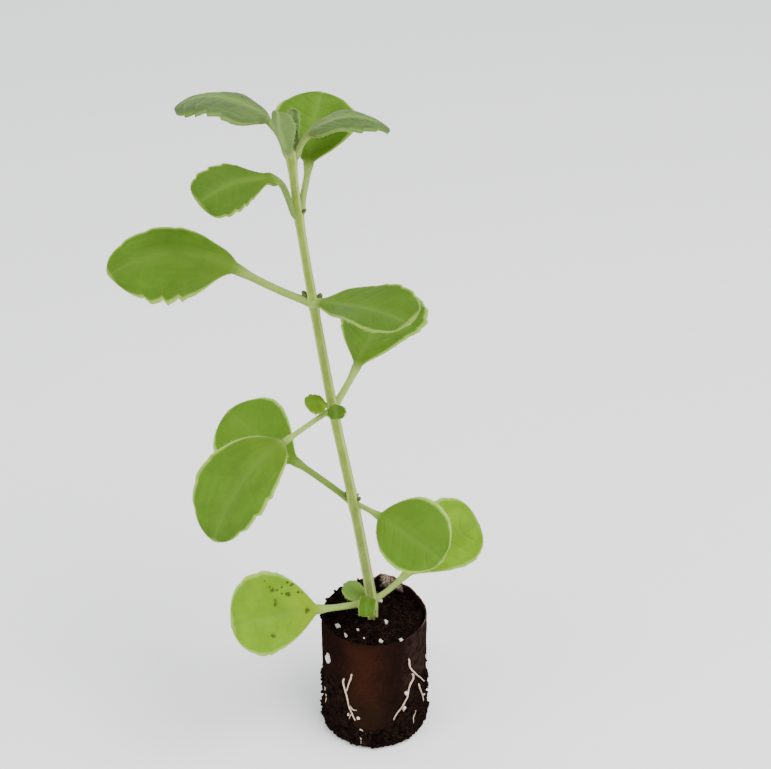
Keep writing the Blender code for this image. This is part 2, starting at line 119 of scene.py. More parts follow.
# soil splashed on a leaf, as (place along the blade, place across it, radius)
SPLASHED_LEAF = "leaf_lowest_left"
SPLASHES = [(0.53, -0.64, 0.0004), (0.50, -0.60, 0.0006), (0.46, -0.55, 0.0005), (0.33, -0.84, 0.0005),
            (0.28, -0.84, 0.0007), (0.32, -0.52, 0.0008), (0.22, -0.74, 0.0005), (0.18, -0.76, 0.0005),
            (0.48, -0.27, 0.0007), (0.48, -0.36, 0.0005), (0.13, 0.02, 0.0008), (0.57, 0.50, 0.0008),
            (0.40, -0.50, 0.0004), (0.58, -0.76, 0.0003), (0.42, -0.66, 0.0004)]

Leaf = namedtuple("Leaf", (
    "name", "pair",            # the node's name and the leaf pair that it belongs to
    "heading", "rise",         # direction of the petiole round the stem, and its climb
    "petiole", "thickness",    # length and width of the petiole
    "turn", "sweep",           # change of heading at the blade's base, and along the blade
    "pitch", "tip_pitch",      # climb of the blade at its base and at its tip
    "roll",                    # turn of the blade about its own midrib
    "length", "width",         # the blade
    "taper", "bluntness",      # fullness of the blade's base and tip: less is fuller
    "fold",                    # angle by which each half is raised from the midrib
    "lopsided",                # how much wider the left half is than the right one
    "bend",                    # how late along the petiole it bends to the blade
    "teeth", "tooth_depth",    # scallops on each edge, and their depth as a share of the width
    "finish"))                 # the material slot

LEAVES = [
    Leaf("leaf_lowest_left", "lowest", 207, 7, 0.0233, 0.0024, 0, 8, 16, 8, -58,
         0.0351, 0.0305, 0.84, 0.49, 6, -0.1, 1, 4, 0.05, "leaf_yellow_green"),
    Leaf("leaf_lowest_right", "lowest", 32, 11, 0.0173, 0.0022, -8, -10, 41, 19, 43,
         0.0330, 0.0270, 0.94, 0.44, 6, 0.1, 1, 4, 0.05, "leaf_yellow_green"),
    Leaf("leaf_low_left", "low", 145, 19, 0.0276, 0.0024, 0, 3, 14, 26, -25,
         0.0323, 0.0317, 1.08, 0.64, 6, 0.1, 1, 5, 0.05, "leaf_green"),
    Leaf("leaf_low_right", "low", 311, 15, 0.0143, 0.0019, 2, 7, 2, -15, 43,
         0.0306, 0.0270, 0.67, 0.56, 4, 0.1, 1, 4, 0.03, "leaf_green"),
    Leaf("leaf_middle_left", "middle", 222, -8, 0.0226, 0.0018, -4, 14, -15, -61, -11,
         0.0421, 0.0289, 0.65, 0.62, 8, -0.1, 1, 4, 0.12, "leaf_green"),
    Leaf("leaf_middle_right", "middle", 56, 29, 0.0178, 0.0024, 4, -9, 34, 25, -13,
         0.0334, 0.0389, 1.15, 0.62, 4, 0.0, 1, 5, 0.11, "leaf_green"),
    Leaf("leaf_upper_left", "upper", 178, 22, 0.0286, 0.0026, 4, 21, 33, -26, -42,
         0.0440, 0.0269, 0.86, 0.62, 6, 0.3, 1, 4, 0.17, "leaf_green"),
    Leaf("leaf_upper_right", "upper", 308, 33, 0.0045, 0.0026, 14, 1, 20, -4, 12,
         0.0370, 0.0229, 0.73, 0.32, 10, 0.1, 1, 5, 0.08, "leaf_green"),
    Leaf("leaf_high_left", "high", 215, 72, 0.0203, 0.0021, 10, -11, 25, -23, -36,
         0.0287, 0.0179, 1.10, 0.37, 8, 0.1, 6, 5, 0.15, "leaf_green"),
    Leaf("leaf_high_right", "high", 57, 84, 0.0182, 0.0022, 26, -13, 46, 35, 2,
         0.0253, 0.0284, 1.00, 0.67, 6, 0.0, 1, 4, 0.09, "leaf_green"),
    Leaf("leaf_top_left", "top", 156, 73, 0.0146, 0.0022, 14, 5, 46, -38, 5,
         0.0328, 0.0222, 0.51, 0.63, -6, 0.2, 2, 5, 0.26, "leaf_grey_green"),
    Leaf("leaf_top_right", "top", 357, 75, 0.0110, 0.0022, 10, 3, 41, -46, -2,
         0.0278, 0.0156, 0.42, 0.58, -6, 0.1, 2, 4, 0.22, "leaf_grey_green"),
    Leaf("young_leaf_front", "bud", 240, 72, 0.0030, 0.0020, 0, 0, 66, 80, 0,
         0.0160, 0.0085, 0.80, 0.30, 20, 0.1, 1, 3, 0.14, "leaf_grey_green"),
    Leaf("young_leaf_back", "bud", 70, 75, 0.0030, 0.0014, 0, 0, 78, 84, 0,
         0.0125, 0.0060, 0.56, 0.42, 30, 0.0, 1, 4, 0.22, "leaf_grey_green"),
    Leaf("shoot_leaf_left", "middle", 189, 35, 0.0035, 0.0013, 20, 3, 32, 4, -34,
         0.0081, 0.0077, 0.47, 0.36, 6, 0.1, 1, 3, 0.34, "leaf_yellow_green"),
    Leaf("shoot_leaf_right", "middle", 278, 80, 0.0058, 0.0013, 0, 1, 5, -30, 8,
         0.0066, 0.0068, 0.60, 0.42, 6, 0.1, 3, 3, 0.32, "leaf_green"),
    Leaf("base_shoot_back", "lowest", 160, -16, 0.0032, 0.0014, 0, 0, 30, 18, -16,
         0.0092, 0.0084, 0.54, 0.43, 6, 0.0, 1, 3, 0.24, "leaf_yellow_green"),
    Leaf("base_shoot_front", "lowest", 258, 61, 0.0062, 0.0018, 0, 7, 44, -83, -8,
         0.0090, 0.0064, 0.25, 0.18, 6, 0.0, 1, 3, 0.14, "leaf_green"),
]

# ---- what some leaves have of their own ----
# depth of the green: 0 for the finish's own, 1 for the darkest and -1 for the lightest; partly each leaf's
# own tone, and painted shade on leaf_high_left
TONES_AND_SHADE = {"leaf_high_left": 0.75, "leaf_upper_right": 0.50, "leaf_low_left": -0.50, "leaf_low_right": -0.35,
          "shoot_leaf_left": 0.90, "shoot_leaf_right": 0.50}
# how much of the pale down the petiole has: 1 where it isn't listed; on leaf_high_left it is lowered as
# painted shade
PETIOLE_PALENESS_AND_SHADE = {"leaf_high_left": 0.30, "leaf_low_left": 0.40, "leaf_low_right": 0.75, "leaf_top_left": 0.65,
            "leaf_top_right": 0.75, "leaf_upper_left": 0.65}
# how far the edges curl down
EDGE_CURLS = {"leaf_top_left": 0.0008, "leaf_top_right": 0.0008}
# how many times deeper or shallower the teeth are on the left half and on the right half
SAW_EDGES = {"leaf_top_left": (1.9, 0.5), "leaf_top_right": (0.5, 1.9), "leaf_upper_left": (1.3, 0.8),
             "leaf_middle_left": (1.8, 0.7)}
# how much the petiole widens at the foot of the blade, as a share of its width
NECKS = {"leaf_high_left": 1.5}
PLAIN_NECK = 0.6
# the leaves that are pale with down all over
YOUNG = ("young_leaf_front", "young_leaf_back", "base_shoot_back")


# ---- settings ----

def length(name, description, default):
    """A length setting."""
    return FloatProperty(name=name, description=description, default=default, unit="LENGTH", precision=5)


def color(name, description, default):
    """A colour setting."""
    return FloatVectorProperty(name=name, description=description, default=default, subtype="COLOR",
                               min=0, max=1)


def share(name, description, default):
    """A setting between 0 and 1."""
    return FloatProperty(name=name, description=description, default=default, min=0, max=1,
                         subtype="FACTOR")


def count(name, description, default):
    """A setting for how many there are."""
    return IntProperty(name=name, description=description, default=default, min=0)


class OreganoLeaves(bpy.types.PropertyGroup):
    """Sizes and colours of the leaves"""
    blade_thickness: length("Blade thickness", "Thickness in the middle of a blade", 0.0015)
    edge_thickness: length("Edge thickness", "Thickness of a blade's rounded edge", 0.0008)
    petiole_start: FloatProperty(name="Petiole start", description="Climb of a petiole where it leaves "
                                 "the stem", default=math.radians(35), subtype="ANGLE")
    lift_length: length("Lift length", "Length over which a petiole turns to its own climb", 0.004)
    vein_depth: length("Vein depth", "How deep the veins lie in the upper face", 0.00022)
    quilting: length("Quilting", "How far the blade swells between its veins", 0.00018)
    ripple: length("Ripple", "How far a blade's edge waves up and down", 0.0007)
    green: color("Green", "Blade of a middle leaf", (0.060, 0.132, 0.006))
    yellow_green: color("Yellow green", "Blade of a lower leaf", (0.118, 0.232, 0.005))
    grey_green: color("Grey green", "Blade of a young upper leaf", (0.058, 0.102, 0.024))
    bud: color("Bud", "Downy young leaf at the tip", (0.150, 0.235, 0.070))
    vein: color("Vein", "Veins and midrib", (0.120, 0.215, 0.028))
    # the pale edge colour: partly the down, partly a painted rim highlight
    edge: color("Edge", "Downy edge of a blade", (0.260, 0.400, 0.060))
    underside: color("Underside", "Paler lower face", (0.120, 0.200, 0.050))
    stalk: color("Petiole", "Downy petiole", (0.260, 0.360, 0.080))
    down: share("Down", "Strength of the velvety down's sheen", 0.12)
    hair_length: length("Hair length", "Length of a hair of the down", 0.0006)
    edge_hairs: count("Edge hairs", "Hairs on a leaf's edge for each metre of its length", 7000)
    stalk_hairs: count("Stalk hairs", "Hairs for each metre of petiole and stem", 6000)


class OreganoStem(bpy.types.PropertyGroup):
    """Sizes and colours of the stem"""
    base_radius: length("Base radius", "Radius at the soil", 0.0021)
    middle_radius: length("Middle radius", "Radius half way up", 0.0018)
    top_radius: length("Top radius", "Radius at the tip", 0.0014)
    swelling: length("Swelling", "Extra radius where a leaf pair grows", 0.0003)
    groove: length("Groove", "Depth of the ring just above a leaf pair", 0.00012)
    green: color("Green", "Upper stem", (0.166, 0.246, 0.028))
    foot: color("Foot", "Older, browner stem at the soil", (0.150, 0.185, 0.050))
    # pale corners: partly the down, partly a painted highlight on the stem's edges
    pale_down_and_highlight: color("Rib", "Pale downy corners of the stem", (0.380, 0.455, 0.105))


class OreganoPlug(bpy.types.PropertyGroup):
    """Sizes and colours of the plug, its roots and its grains"""
    soil_lump: length("Soil lumps", "Height of the lumps on the soil's surface", 0.0013)
    crumbs: count("Crumbs", "Loose crumbs on the soil", 2600)
    fibres: count("Fibres", "Short fibres in the soil", 60)
    soil_dark: color("Dark soil", "Wet soil", (0.0050, 0.0034, 0.0032))
    soil_light: color("Light soil", "Drier crumbs", (0.026, 0.012, 0.008))
    soil_speck: color("Soil specks", "Dry specks in the soil", (0.160, 0.100, 0.060))
    paper_brown: color("Paper", "Damp paper in front", (0.0260, 0.0088, 0.0050))
    paper_olive: color("Olive paper", "Greener stains low in front", (0.0190, 0.0115, 0.0060))
    # wet stain round the sides, partly painted shade where the sleeve curves away
    paper_stain_and_shade: color("Stained paper", "Paper stained by wet soil", (0.0080, 0.0042, 0.0034))
    # painted light: greyer, lighter patches on the right side, which faces the light
    paper_painted_light: color("Greyed paper", "Greyer patches on the right", (0.030, 0.020, 0.017))
    paper_dry: color("Dry paper", "Dry paper at the rim", (0.190, 0.115, 0.065))
    paper_crust: color("Crusted paper", "Pale crust on the dry paper", (0.620, 0.530, 0.430))
    root_pale: color("Root", "Fresh root", (0.560, 0.430, 0.310))
    root_brown: color("Old root", "Browned stretches of a root", (0.270, 0.170, 0.100))
    perlite: color("Perlite", "White grains", (0.620, 0.580, 0.540))
    perlite_dust: color("Perlite dust", "Soil dust on the grains", (0.160, 0.110, 0.080))


class OreganoStage(bpy.types.PropertyGroup):
    """Floor, light and camera"""
    floor: color("Floor", "Plain pale floor", (0.860, 0.865, 0.850))
    key_power: FloatProperty(name="Key light", description="Large soft light", default=21.0, unit="POWER")
    fill_power: FloatProperty(name="Fill light", description="Soft side light", default=6.0, unit="POWER")
    sky: FloatProperty(name="Sky", description="Strength of the even light from all round", default=1.35)
    lens: FloatProperty(name="Lens", description="Focal length", default=80.6, unit="CAMERA")


# ---- shader maths ----

class Value:
    """A number in a shader. Arithmetic on it adds Math nodes."""

    def __init__(self, finish, socket):
        self.finish, self.socket = finish, socket

    def __add__(self, other):
        return self.finish.math("ADD", self, other)

    def __sub__(self, other):
        return self.finish.math("SUBTRACT", self, other)

    def __rsub__(self, other):
        return self.finish.math("SUBTRACT", other, self)

    def __mul__(self, other):
        return self.finish.math("MULTIPLY", self, other)

    def __abs__(self):
        return self.finish.math("ABSOLUTE", self)

    def step(self, low, high):
        """0 below low, 1 above high and a smooth rise between them; the two may be the other way round."""
        return self.finish.node("ShaderNodeMapRange", {"interpolation_type": "SMOOTHSTEP"},
                                {"Value": self, "From Min": low, "From Max": high})

    __radd__ = __add__
    __rmul__ = __mul__


class Finish:
    """A material in the making."""

    def __init__(self, name):
        self.material = bpy.data.materials.new(name)
        self.material.use_nodes = True
        self.tree = self.material.node_tree
        self.shader = self.tree.nodes["Principled BSDF"]

    def node(self, kind, settings=None, inputs=None, output=0):
        """A node of a type, its settings first, then the values or links of its sockets."""
        made = self.tree.nodes.new(kind)
        for key, value in (settings or {}).items():
            setattr(made, key, value)
        for key, value in (inputs or {}).items():
            self.join(made.inputs[key], value)
        return Value(self, made.outputs[output])

    def join(self, socket, value):
        """Link a socket to a shader value, or set it to a plain one."""
        if isinstance(value, Value):
            self.tree.links.new(value.socket, socket)
        elif socket.type == "RGBA":
            socket.default_value = (*value, 1)
        else:
            socket.default_value = value

    def math(self, operation, *terms):
        """One Math node."""
        return self.node("ShaderNodeMath", {"operation": operation}, dict(enumerate(terms)))

    def mix(self, factor, first, second):
        """A colour between two others."""
        return self.node("ShaderNodeMix", {"data_type": "RGBA"}, {0: factor, 6: first, 7: second}, output=2)

    def coats(self, base, *coats):
        """A colour with others laid over it in turn, each given as (how much of it, colour)."""
        for factor, over in coats:
            base = self.mix(factor, base, over)
        return base

    def mark(self, name):
        """A value stored on the mesh."""
        return self.node("ShaderNodeAttribute", {"attribute_name": name}, output=2)

    def place(self):
        """The point on the surface, in metres."""
        return self.node("ShaderNodeTexCoord", output=3)

    def drawn_out(self, squeeze):
        """The point on the surface with its height squeezed, so that a pattern on it is drawn out upwards."""
        return self.node("ShaderNodeMapping", None, {"Vector": self.place(), "Scale": (1.0, 1.0, squeeze)})

    def noise(self, scale, detail=2.0, roughness=0.5, where=None):
        """Soft noise between 0 and 1; the scale is in lumps per metre."""
        return self.node("ShaderNodeTexNoise", None, {
            "Vector": where or self.place(), "Scale": scale, "Detail": detail, "Roughness": roughness})

    def cells(self, scale):
        """Distance inside a pattern of cells; the scale is in cells per metre."""
        return self.node("ShaderNodeTexVoronoi", None, {"Vector": self.place(), "Scale": scale})

    def bump(self, height, depth, strength):
        """A bumped normal: the height is a shader value from 0 to 1, and the depth is in metres."""
        return self.node("ShaderNodeBump", None, {"Height": height, "Distance": depth, "Strength": strength})

    def set(self, **sockets):
        """Set or link the shader's own sockets, named in lower case with underscores."""
        for key, value in sockets.items():
            title = " ".join("IOR" if word == "ior" else word.capitalize() for word in key.split("_"))
            self.join(self.shader.inputs[title], value)
        return self.material


def shaded(color, times):
    """A colour made darker or lighter."""
    return tuple(times * part for part in color)


# plain mottled finishes: patches in a metre and their detail, two colours, roughness and shine
MOTTLED = {
    "node_bud": (900, 3, (0.045, 0.060, 0.016), (0.090, 0.110, 0.035), 0.70, 0.15),
    "down": (300, 2, (0.300, 0.400, 0.120), (0.480, 0.560, 0.260), 0.55, 0.20),
    "splash": (1200, 2, (0.058, 0.080, 0.012), (0.090, 0.125, 0.022), 0.80, 0.05),
    "fibre": (600, 2, (0.020, 0.010, 0.006), (0.060, 0.032, 0.018), 0.80, 0.10),
}


def mottled_material(name):
    """One of the plain mottled finishes."""
    patches, detail, dark, light, roughness, shine = MOTTLED[name]
    finish = Finish(name)
    base = finish.mix(finish.noise(patches, detail).step(0.35, 0.65), dark, light)
    return finish.set(base_color=base, roughness=roughness, specular_ior_level=shine)


# ---- mesh making ----

# rings and sides of a lump's mesh
CRUMB_MESH = (5, 7)
SMALL_GRAIN_MESH = (12, 18)
GRAIN_MESH = (18, 26)


def ease(t):
    """A smooth step from 0 to 1."""
    t = np.clip(t, 0, 1)
    return t * t * (3 - 2 * t)


def full_turn(sides):
    """Evenly spaced angles round a circle, in radians."""
    return 2 * np.pi * np.arange(sides) / sides


def direction(heading, pitch):
    """The unit vector of a heading and a climb, both in radians."""
    return np.stack([np.cos(pitch) * np.cos(heading), np.cos(pitch) * np.sin(heading), np.sin(pitch)], -1)


def smooth_curve(points, per_span):
    """Points along a Catmull-Rom curve through the given ones."""
    points = np.asarray(points, float)
    padded = np.vstack([2 * points[0] - points[1], points, 2 * points[-1] - points[-2]])
    curve = []
    for i in range(1, len(padded) - 2):
        a, b, c, d = padded[i - 1:i + 3]
        for t in np.arange(per_span) / per_span:
            curve.append(0.5 * (2 * b + (c - a) * t + (2 * a - 5 * b + 4 * c - d) * t**2
                                + (3 * b - a - 3 * c + d) * t**3))
    curve.append(padded[-2])
    return np.array(curve)


def wobble(points, size, seed):
    """Smooth noise between -1 and 1 at each point, with lumps of the given size."""
    offset = Vector((seed, 2 * seed, 0))
    flat = np.asarray(points, float).reshape(-1, 3)
    values = np.array([noise.noise(Vector(p) / size + offset) for p in flat])
    return values.reshape(np.shape(points)[:-1])


def drift(path, size, seed):
    """A smooth shift in each direction at each point of a path."""
    return np.stack([wobble(path, size, seed + step) for step in (0, 2, 4)], -1)


def make_body(name, points, faces, marks=None):
    """A smooth-shaded object from points and faces, with values stored on its points."""
    mesh = bpy.data.meshes.new(name)
    mesh.from_pydata(np.asarray(points, float).reshape(-1, 3).tolist(), [], faces)
    mesh.update()
    mesh.shade_smooth()
    for key, values in (marks or {}).items():
        layer = mesh.attributes.new(key, "FLOAT", "POINT")
        layer.data.foreach_set("value", np.asarray(values, np.float32).ravel())
    body = bpy.data.objects.new(name, mesh)
    bpy.context.scene.collection.objects.link(body)
    return body


def loft_faces(count, sides, start=0):
    """Faces of a loft of rings, each end closed by a fan about the two points after the rings."""
    first, last = start + count * sides, start + count * sides + 1
    faces = []
    for k in range(sides):
        n = (k + 1) % sides
        faces += [(start + r * sides + k, start + r * sides + n, start + (r + 1) * sides + n,
                   start + (r + 1) * sides + k) for r in range(count - 1)]
        faces.append((first, start + n, start + k))
        faces.append((last, start + (count - 1) * sides + k, start + (count - 1) * sides + n))
    return faces


def with_ends(rings):
    """The points of a loft's rings, then the middles of its first and last rings."""
    return np.vstack([rings.reshape(-1, 3), rings[0].mean(axis=0), rings[-1].mean(axis=0)])


def loft(name, rings, marks=None):
    """A closed body through rings of points, with values stored for each ring point."""
    rings = np.asarray(rings, float)
    full = {key: np.append(values.ravel(), [values[0].mean(), values[-1].mean()])
            for key, values in (marks or {}).items()}
    return make_body(name, with_ends(rings), loft_faces(*rings.shape[:2]), full)


def tube_rings(path, radii, sides, shape=None):
    """Rings of points round a path, carried along it without twisting. Shape scales the radius."""
    tangents = np.gradient(path, axis=0)
    angles = full_turn(sides)
    outline = np.ones(sides) if shape is None else shape(angles)
    side = Vector((0, 1, 0.01))
    rings = []
    for centre, tangent, radius in zip(path, tangents, radii):
        along = Vector(tangent).normalized()
        side = (side - along * side.dot(along)).normalized()
        other = along.cross(side)
        rings.append(centre + radius * (np.outer(outline * np.cos(angles), side)
                                        + np.outer(outline * np.sin(angles), other)))
    return np.array(rings)


def join_tubes(name, tubes):
    """One body of many closed tubes."""
    points, faces, start = [], [], 0
    for rings in tubes:
        faces += loft_faces(*rings.shape[:2], start)
        points.append(with_ends(rings))
        start += len(points[-1])
    return make_body(name, np.vstack(points), faces)


def blob(centre, radius, squash, seed, mesh=CRUMB_MESH):
    """Points of an uneven closed lump."""
    rings, sides = mesh
    latitudes = np.linspace(-1, 1, rings + 2)[1:-1] * np.pi / 2
    angles = full_turn(sides) + seed
    level = np.cos(latitudes)
    height = squash * np.repeat(np.sin(latitudes)[:, None], sides, axis=1)
    shell = np.stack([np.outer(level, np.cos(angles)), np.outer(level, np.sin(angles)), height], -1)
    poles = np.array([[0, 0, -squash], [0, 0, squash]])
    shell = np.vstack([shell.reshape(-1, 3), poles])
    swell = 1 + 0.55 * wobble(shell, 0.8, seed) + 0.20 * wobble(shell, 0.35, seed + 3)
    return centre + radius * shell * swell[:, None]


def scatter(name, lumps, mesh=CRUMB_MESH):
    """One body of many separate closed lumps."""
    faces = []
    for index, lump in enumerate(lumps):
        faces += loft_faces(*mesh, index * len(lump))
    return make_body(name, np.vstack(lumps), faces)


def finish_piece(body, material, slot, *nodes):
    """Give a piece its material and its place in the frame, and let it stand for CAD nodes."""
    body.data.materials.clear()
    body.data.materials.append(material)
    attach(body, "root")
    if nodes:
        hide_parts(*nodes)
    return body


# ---- stem ----

STEM_SIDES = 48
SQUARENESS = 0.055             # how far the stem's corners stand out, as a share of its radius
UNEVEN_STEM = 0.035            # how far its surface strays from that, as a share of its radius
NODE_REACH = 0.004             # how far the swelling at a leaf pair reaches
GROOVE_PLACE = 0.0035          # height of the groove above a leaf pair, and how far it reaches
GROOVE_REACH = 0.0007
BUD_SECTIONS, BUD_SIDES = 9, 12
# the stem's centre line, from its buried end to its tip
STEM_PATH = smooth_curve([(x, 0, SOIL_TOP + height) for height, x in STEM_LEAN], 40)


def stem_point(height):
    """The centre of the stem at a height above the soil."""
    z = SOIL_TOP + height
    return np.array([np.interp(z, STEM_PATH[:, 2], STEM_PATH[:, 0]), 0.0, z])


def stem_radius(look, heights):
    """The stem's plain radius at heights above the soil."""
    return np.interp(heights, [0, PAIR_HEIGHTS["middle"], STEM_TIP],
                     [look.base_radius, look.middle_radius, look.top_radius])


def stem_material(look):
    """Downy pale green, browner at the foot, with paler corners: partly the down, partly a painted highlight
    on the stem's edges.
    """
    finish = Finish("stem")
    height, corner = finish.mark("height"), finish.mark("corner")
    blotch = finish.noise(260, 4, 0.6)
    base = finish.mix((height + (blotch - 0.5) * 0.25).step(0.02, 0.35), look.foot, look.green)
    streaks = finish.noise(900, 3, 0.6, finish.drawn_out(0.05))
    fine = finish.noise(5200, 3, 0.7)
    base = finish.coats(
        base,
        (streaks.step(0.56, 0.42) * 0.35, shaded(look.green, 0.72)),
        # pale corners, partly a painted highlight on the stem's edges
        (corner.step(0.25, 1.0) * 0.75, look.pale_down_and_highlight),
        ((blotch * fine).step(0.16, 0.42) * 0.35, look.pale_down_and_highlight))
    down = finish.bump(fine, 0.00018, 0.5)
    return finish.set(base_color=base, roughness=0.62, normal=down, sheen_weight=0.15,
                      sheen_roughness=0.45, sheen_tint=(0.85, 0.92, 0.62), specular_ior_level=0.15)


class OREGANO_OT_stem(bpy.types.Operator):
    """Grow the stem, with a swelling where each leaf pair grows"""
    bl_idname = "oregano.stem"
    bl_label = "Stem"

    def execute(self, context):
        look = context.scene.oregano_stem
        heights = STEM_PATH[:, 2] - SOIL_TOP
        radii = stem_radius(look, heights)
        for height in PAIR_HEIGHTS.values():
            radii = radii + look.swelling * np.exp(-((heights - height) / NODE_REACH)**2)
            radii = radii - look.groove * np.exp(-((heights - height - GROOVE_PLACE) / GROOVE_REACH)**2)

        def corners(angles):
            return np.cos(4 * (angles - math.pi / 4))

        rings = tube_rings(STEM_PATH, radii, STEM_SIDES, lambda angles: 1 + SQUARENESS * corners(angles))
        rings = rings + (rings - STEM_PATH[:, None]) * (UNEVEN_STEM * wobble(rings, 0.0018, 3))[..., None]
        corner = np.tile(np.maximum(corners(full_turn(STEM_SIDES)), 0), (len(rings), 1))
        height = np.repeat(np.clip(heights / STEM_TIP, 0, 1)[:, None], STEM_SIDES, axis=1)
        body = loft("stem", rings, {"corner": corner, "height": height})
        finish_piece(body, stem_material(look), "stem", "main_stem")

        buds = []
        swell = 0.42 * np.sin(np.linspace(0.9, 3.05, BUD_SECTIONS))**0.7
        for pair, heading, size in NODE_BUDS:
            out = direction(math.radians(heading), 0.5)
            root = stem_point(PAIR_HEIGHTS[pair] + 0.0012)
            path = root + np.outer(np.linspace(0.6, 1.0, BUD_SECTIONS) * (look.middle_radius + size), out)
            path[:, 2] += np.linspace(0, 0.5 * size, BUD_SECTIONS)
            buds.append(tube_rings(path, size * swell, BUD_SIDES))
        finish_piece(join_tubes("node_buds", buds), mottled_material("node_bud"), "stem")
        return {"FINISHED"}


# ---- leaves ----

LARGE_BLADE = 0.020            # blades longer than this get the finer mesh
FINE_LEAF = (110, 112)         # sections along the blade, points round it
PLAIN_LEAF = (60, 56)
FOOT_SWELL = 0.3               # how much wider the petiole is where it leaves the stem
FOOT_REACH = 0.0035
TURN_START = 0.3               # where along the petiole the leaf begins to turn and roll
NECK_REACH = 0.1               # how far the petiole's widening reaches, as a share of the blade
FORM_REACH = 0.22              # how far along the blade it has taken on its full form
TEETH_START = 0.3              # where along the blade the teeth begin
CREST = 0.78                   # where along a tooth its crest is
SIDE_VEINS = 6.0               # side veins along the blade
VEIN_SWEEP = 0.22              # how far a side vein runs towards the tip on its way to the edge
VEIN_WIDTH = 0.17              # as a share of half the gap between two side veins
MIDRIB_WIDTH = 0.0015          # half of it, at the blade's base
WAVES = 1.7                    # waves of an edge along the blade
UNEVENNESS = 0.0004            # how far a blade's surface strays from its plain form


def scallops(t, count, seed):
    """Rounded teeth that lean to the tip, each of its own size: 0 in a notch and 1 on a crest."""
    place = count * np.clip((t - TEETH_START) / (1 - TEETH_START), 0, 1)
    within = np.mod(place, 1)
    crest = np.where(within < CREST, (within / CREST)**0.7, (1 - within) / (1 - CREST))
    chances = [noise.noise(Vector((7.3 * tooth + seed, seed, 0.5))) for tooth in range(count + 2)]
    sizes = 0.65 + 0.35 * np.array(chances)
    return 1 - (1 - crest) * sizes[place.astype(int)] * ease((t - TEETH_START) / 0.1)


def lateral_veins(t, across):
    """How near a point of the blade is to a side vein: 1 on the vein and 0 between veins."""
    place = SIDE_VEINS * (t - VEIN_SWEEP * np.abs(across)**1.15) + 0.45
    off = np.abs(np.mod(place, 1) - 0.5) * 2
    return np.exp(-((1 - off) / VEIN_WIDTH)**2)


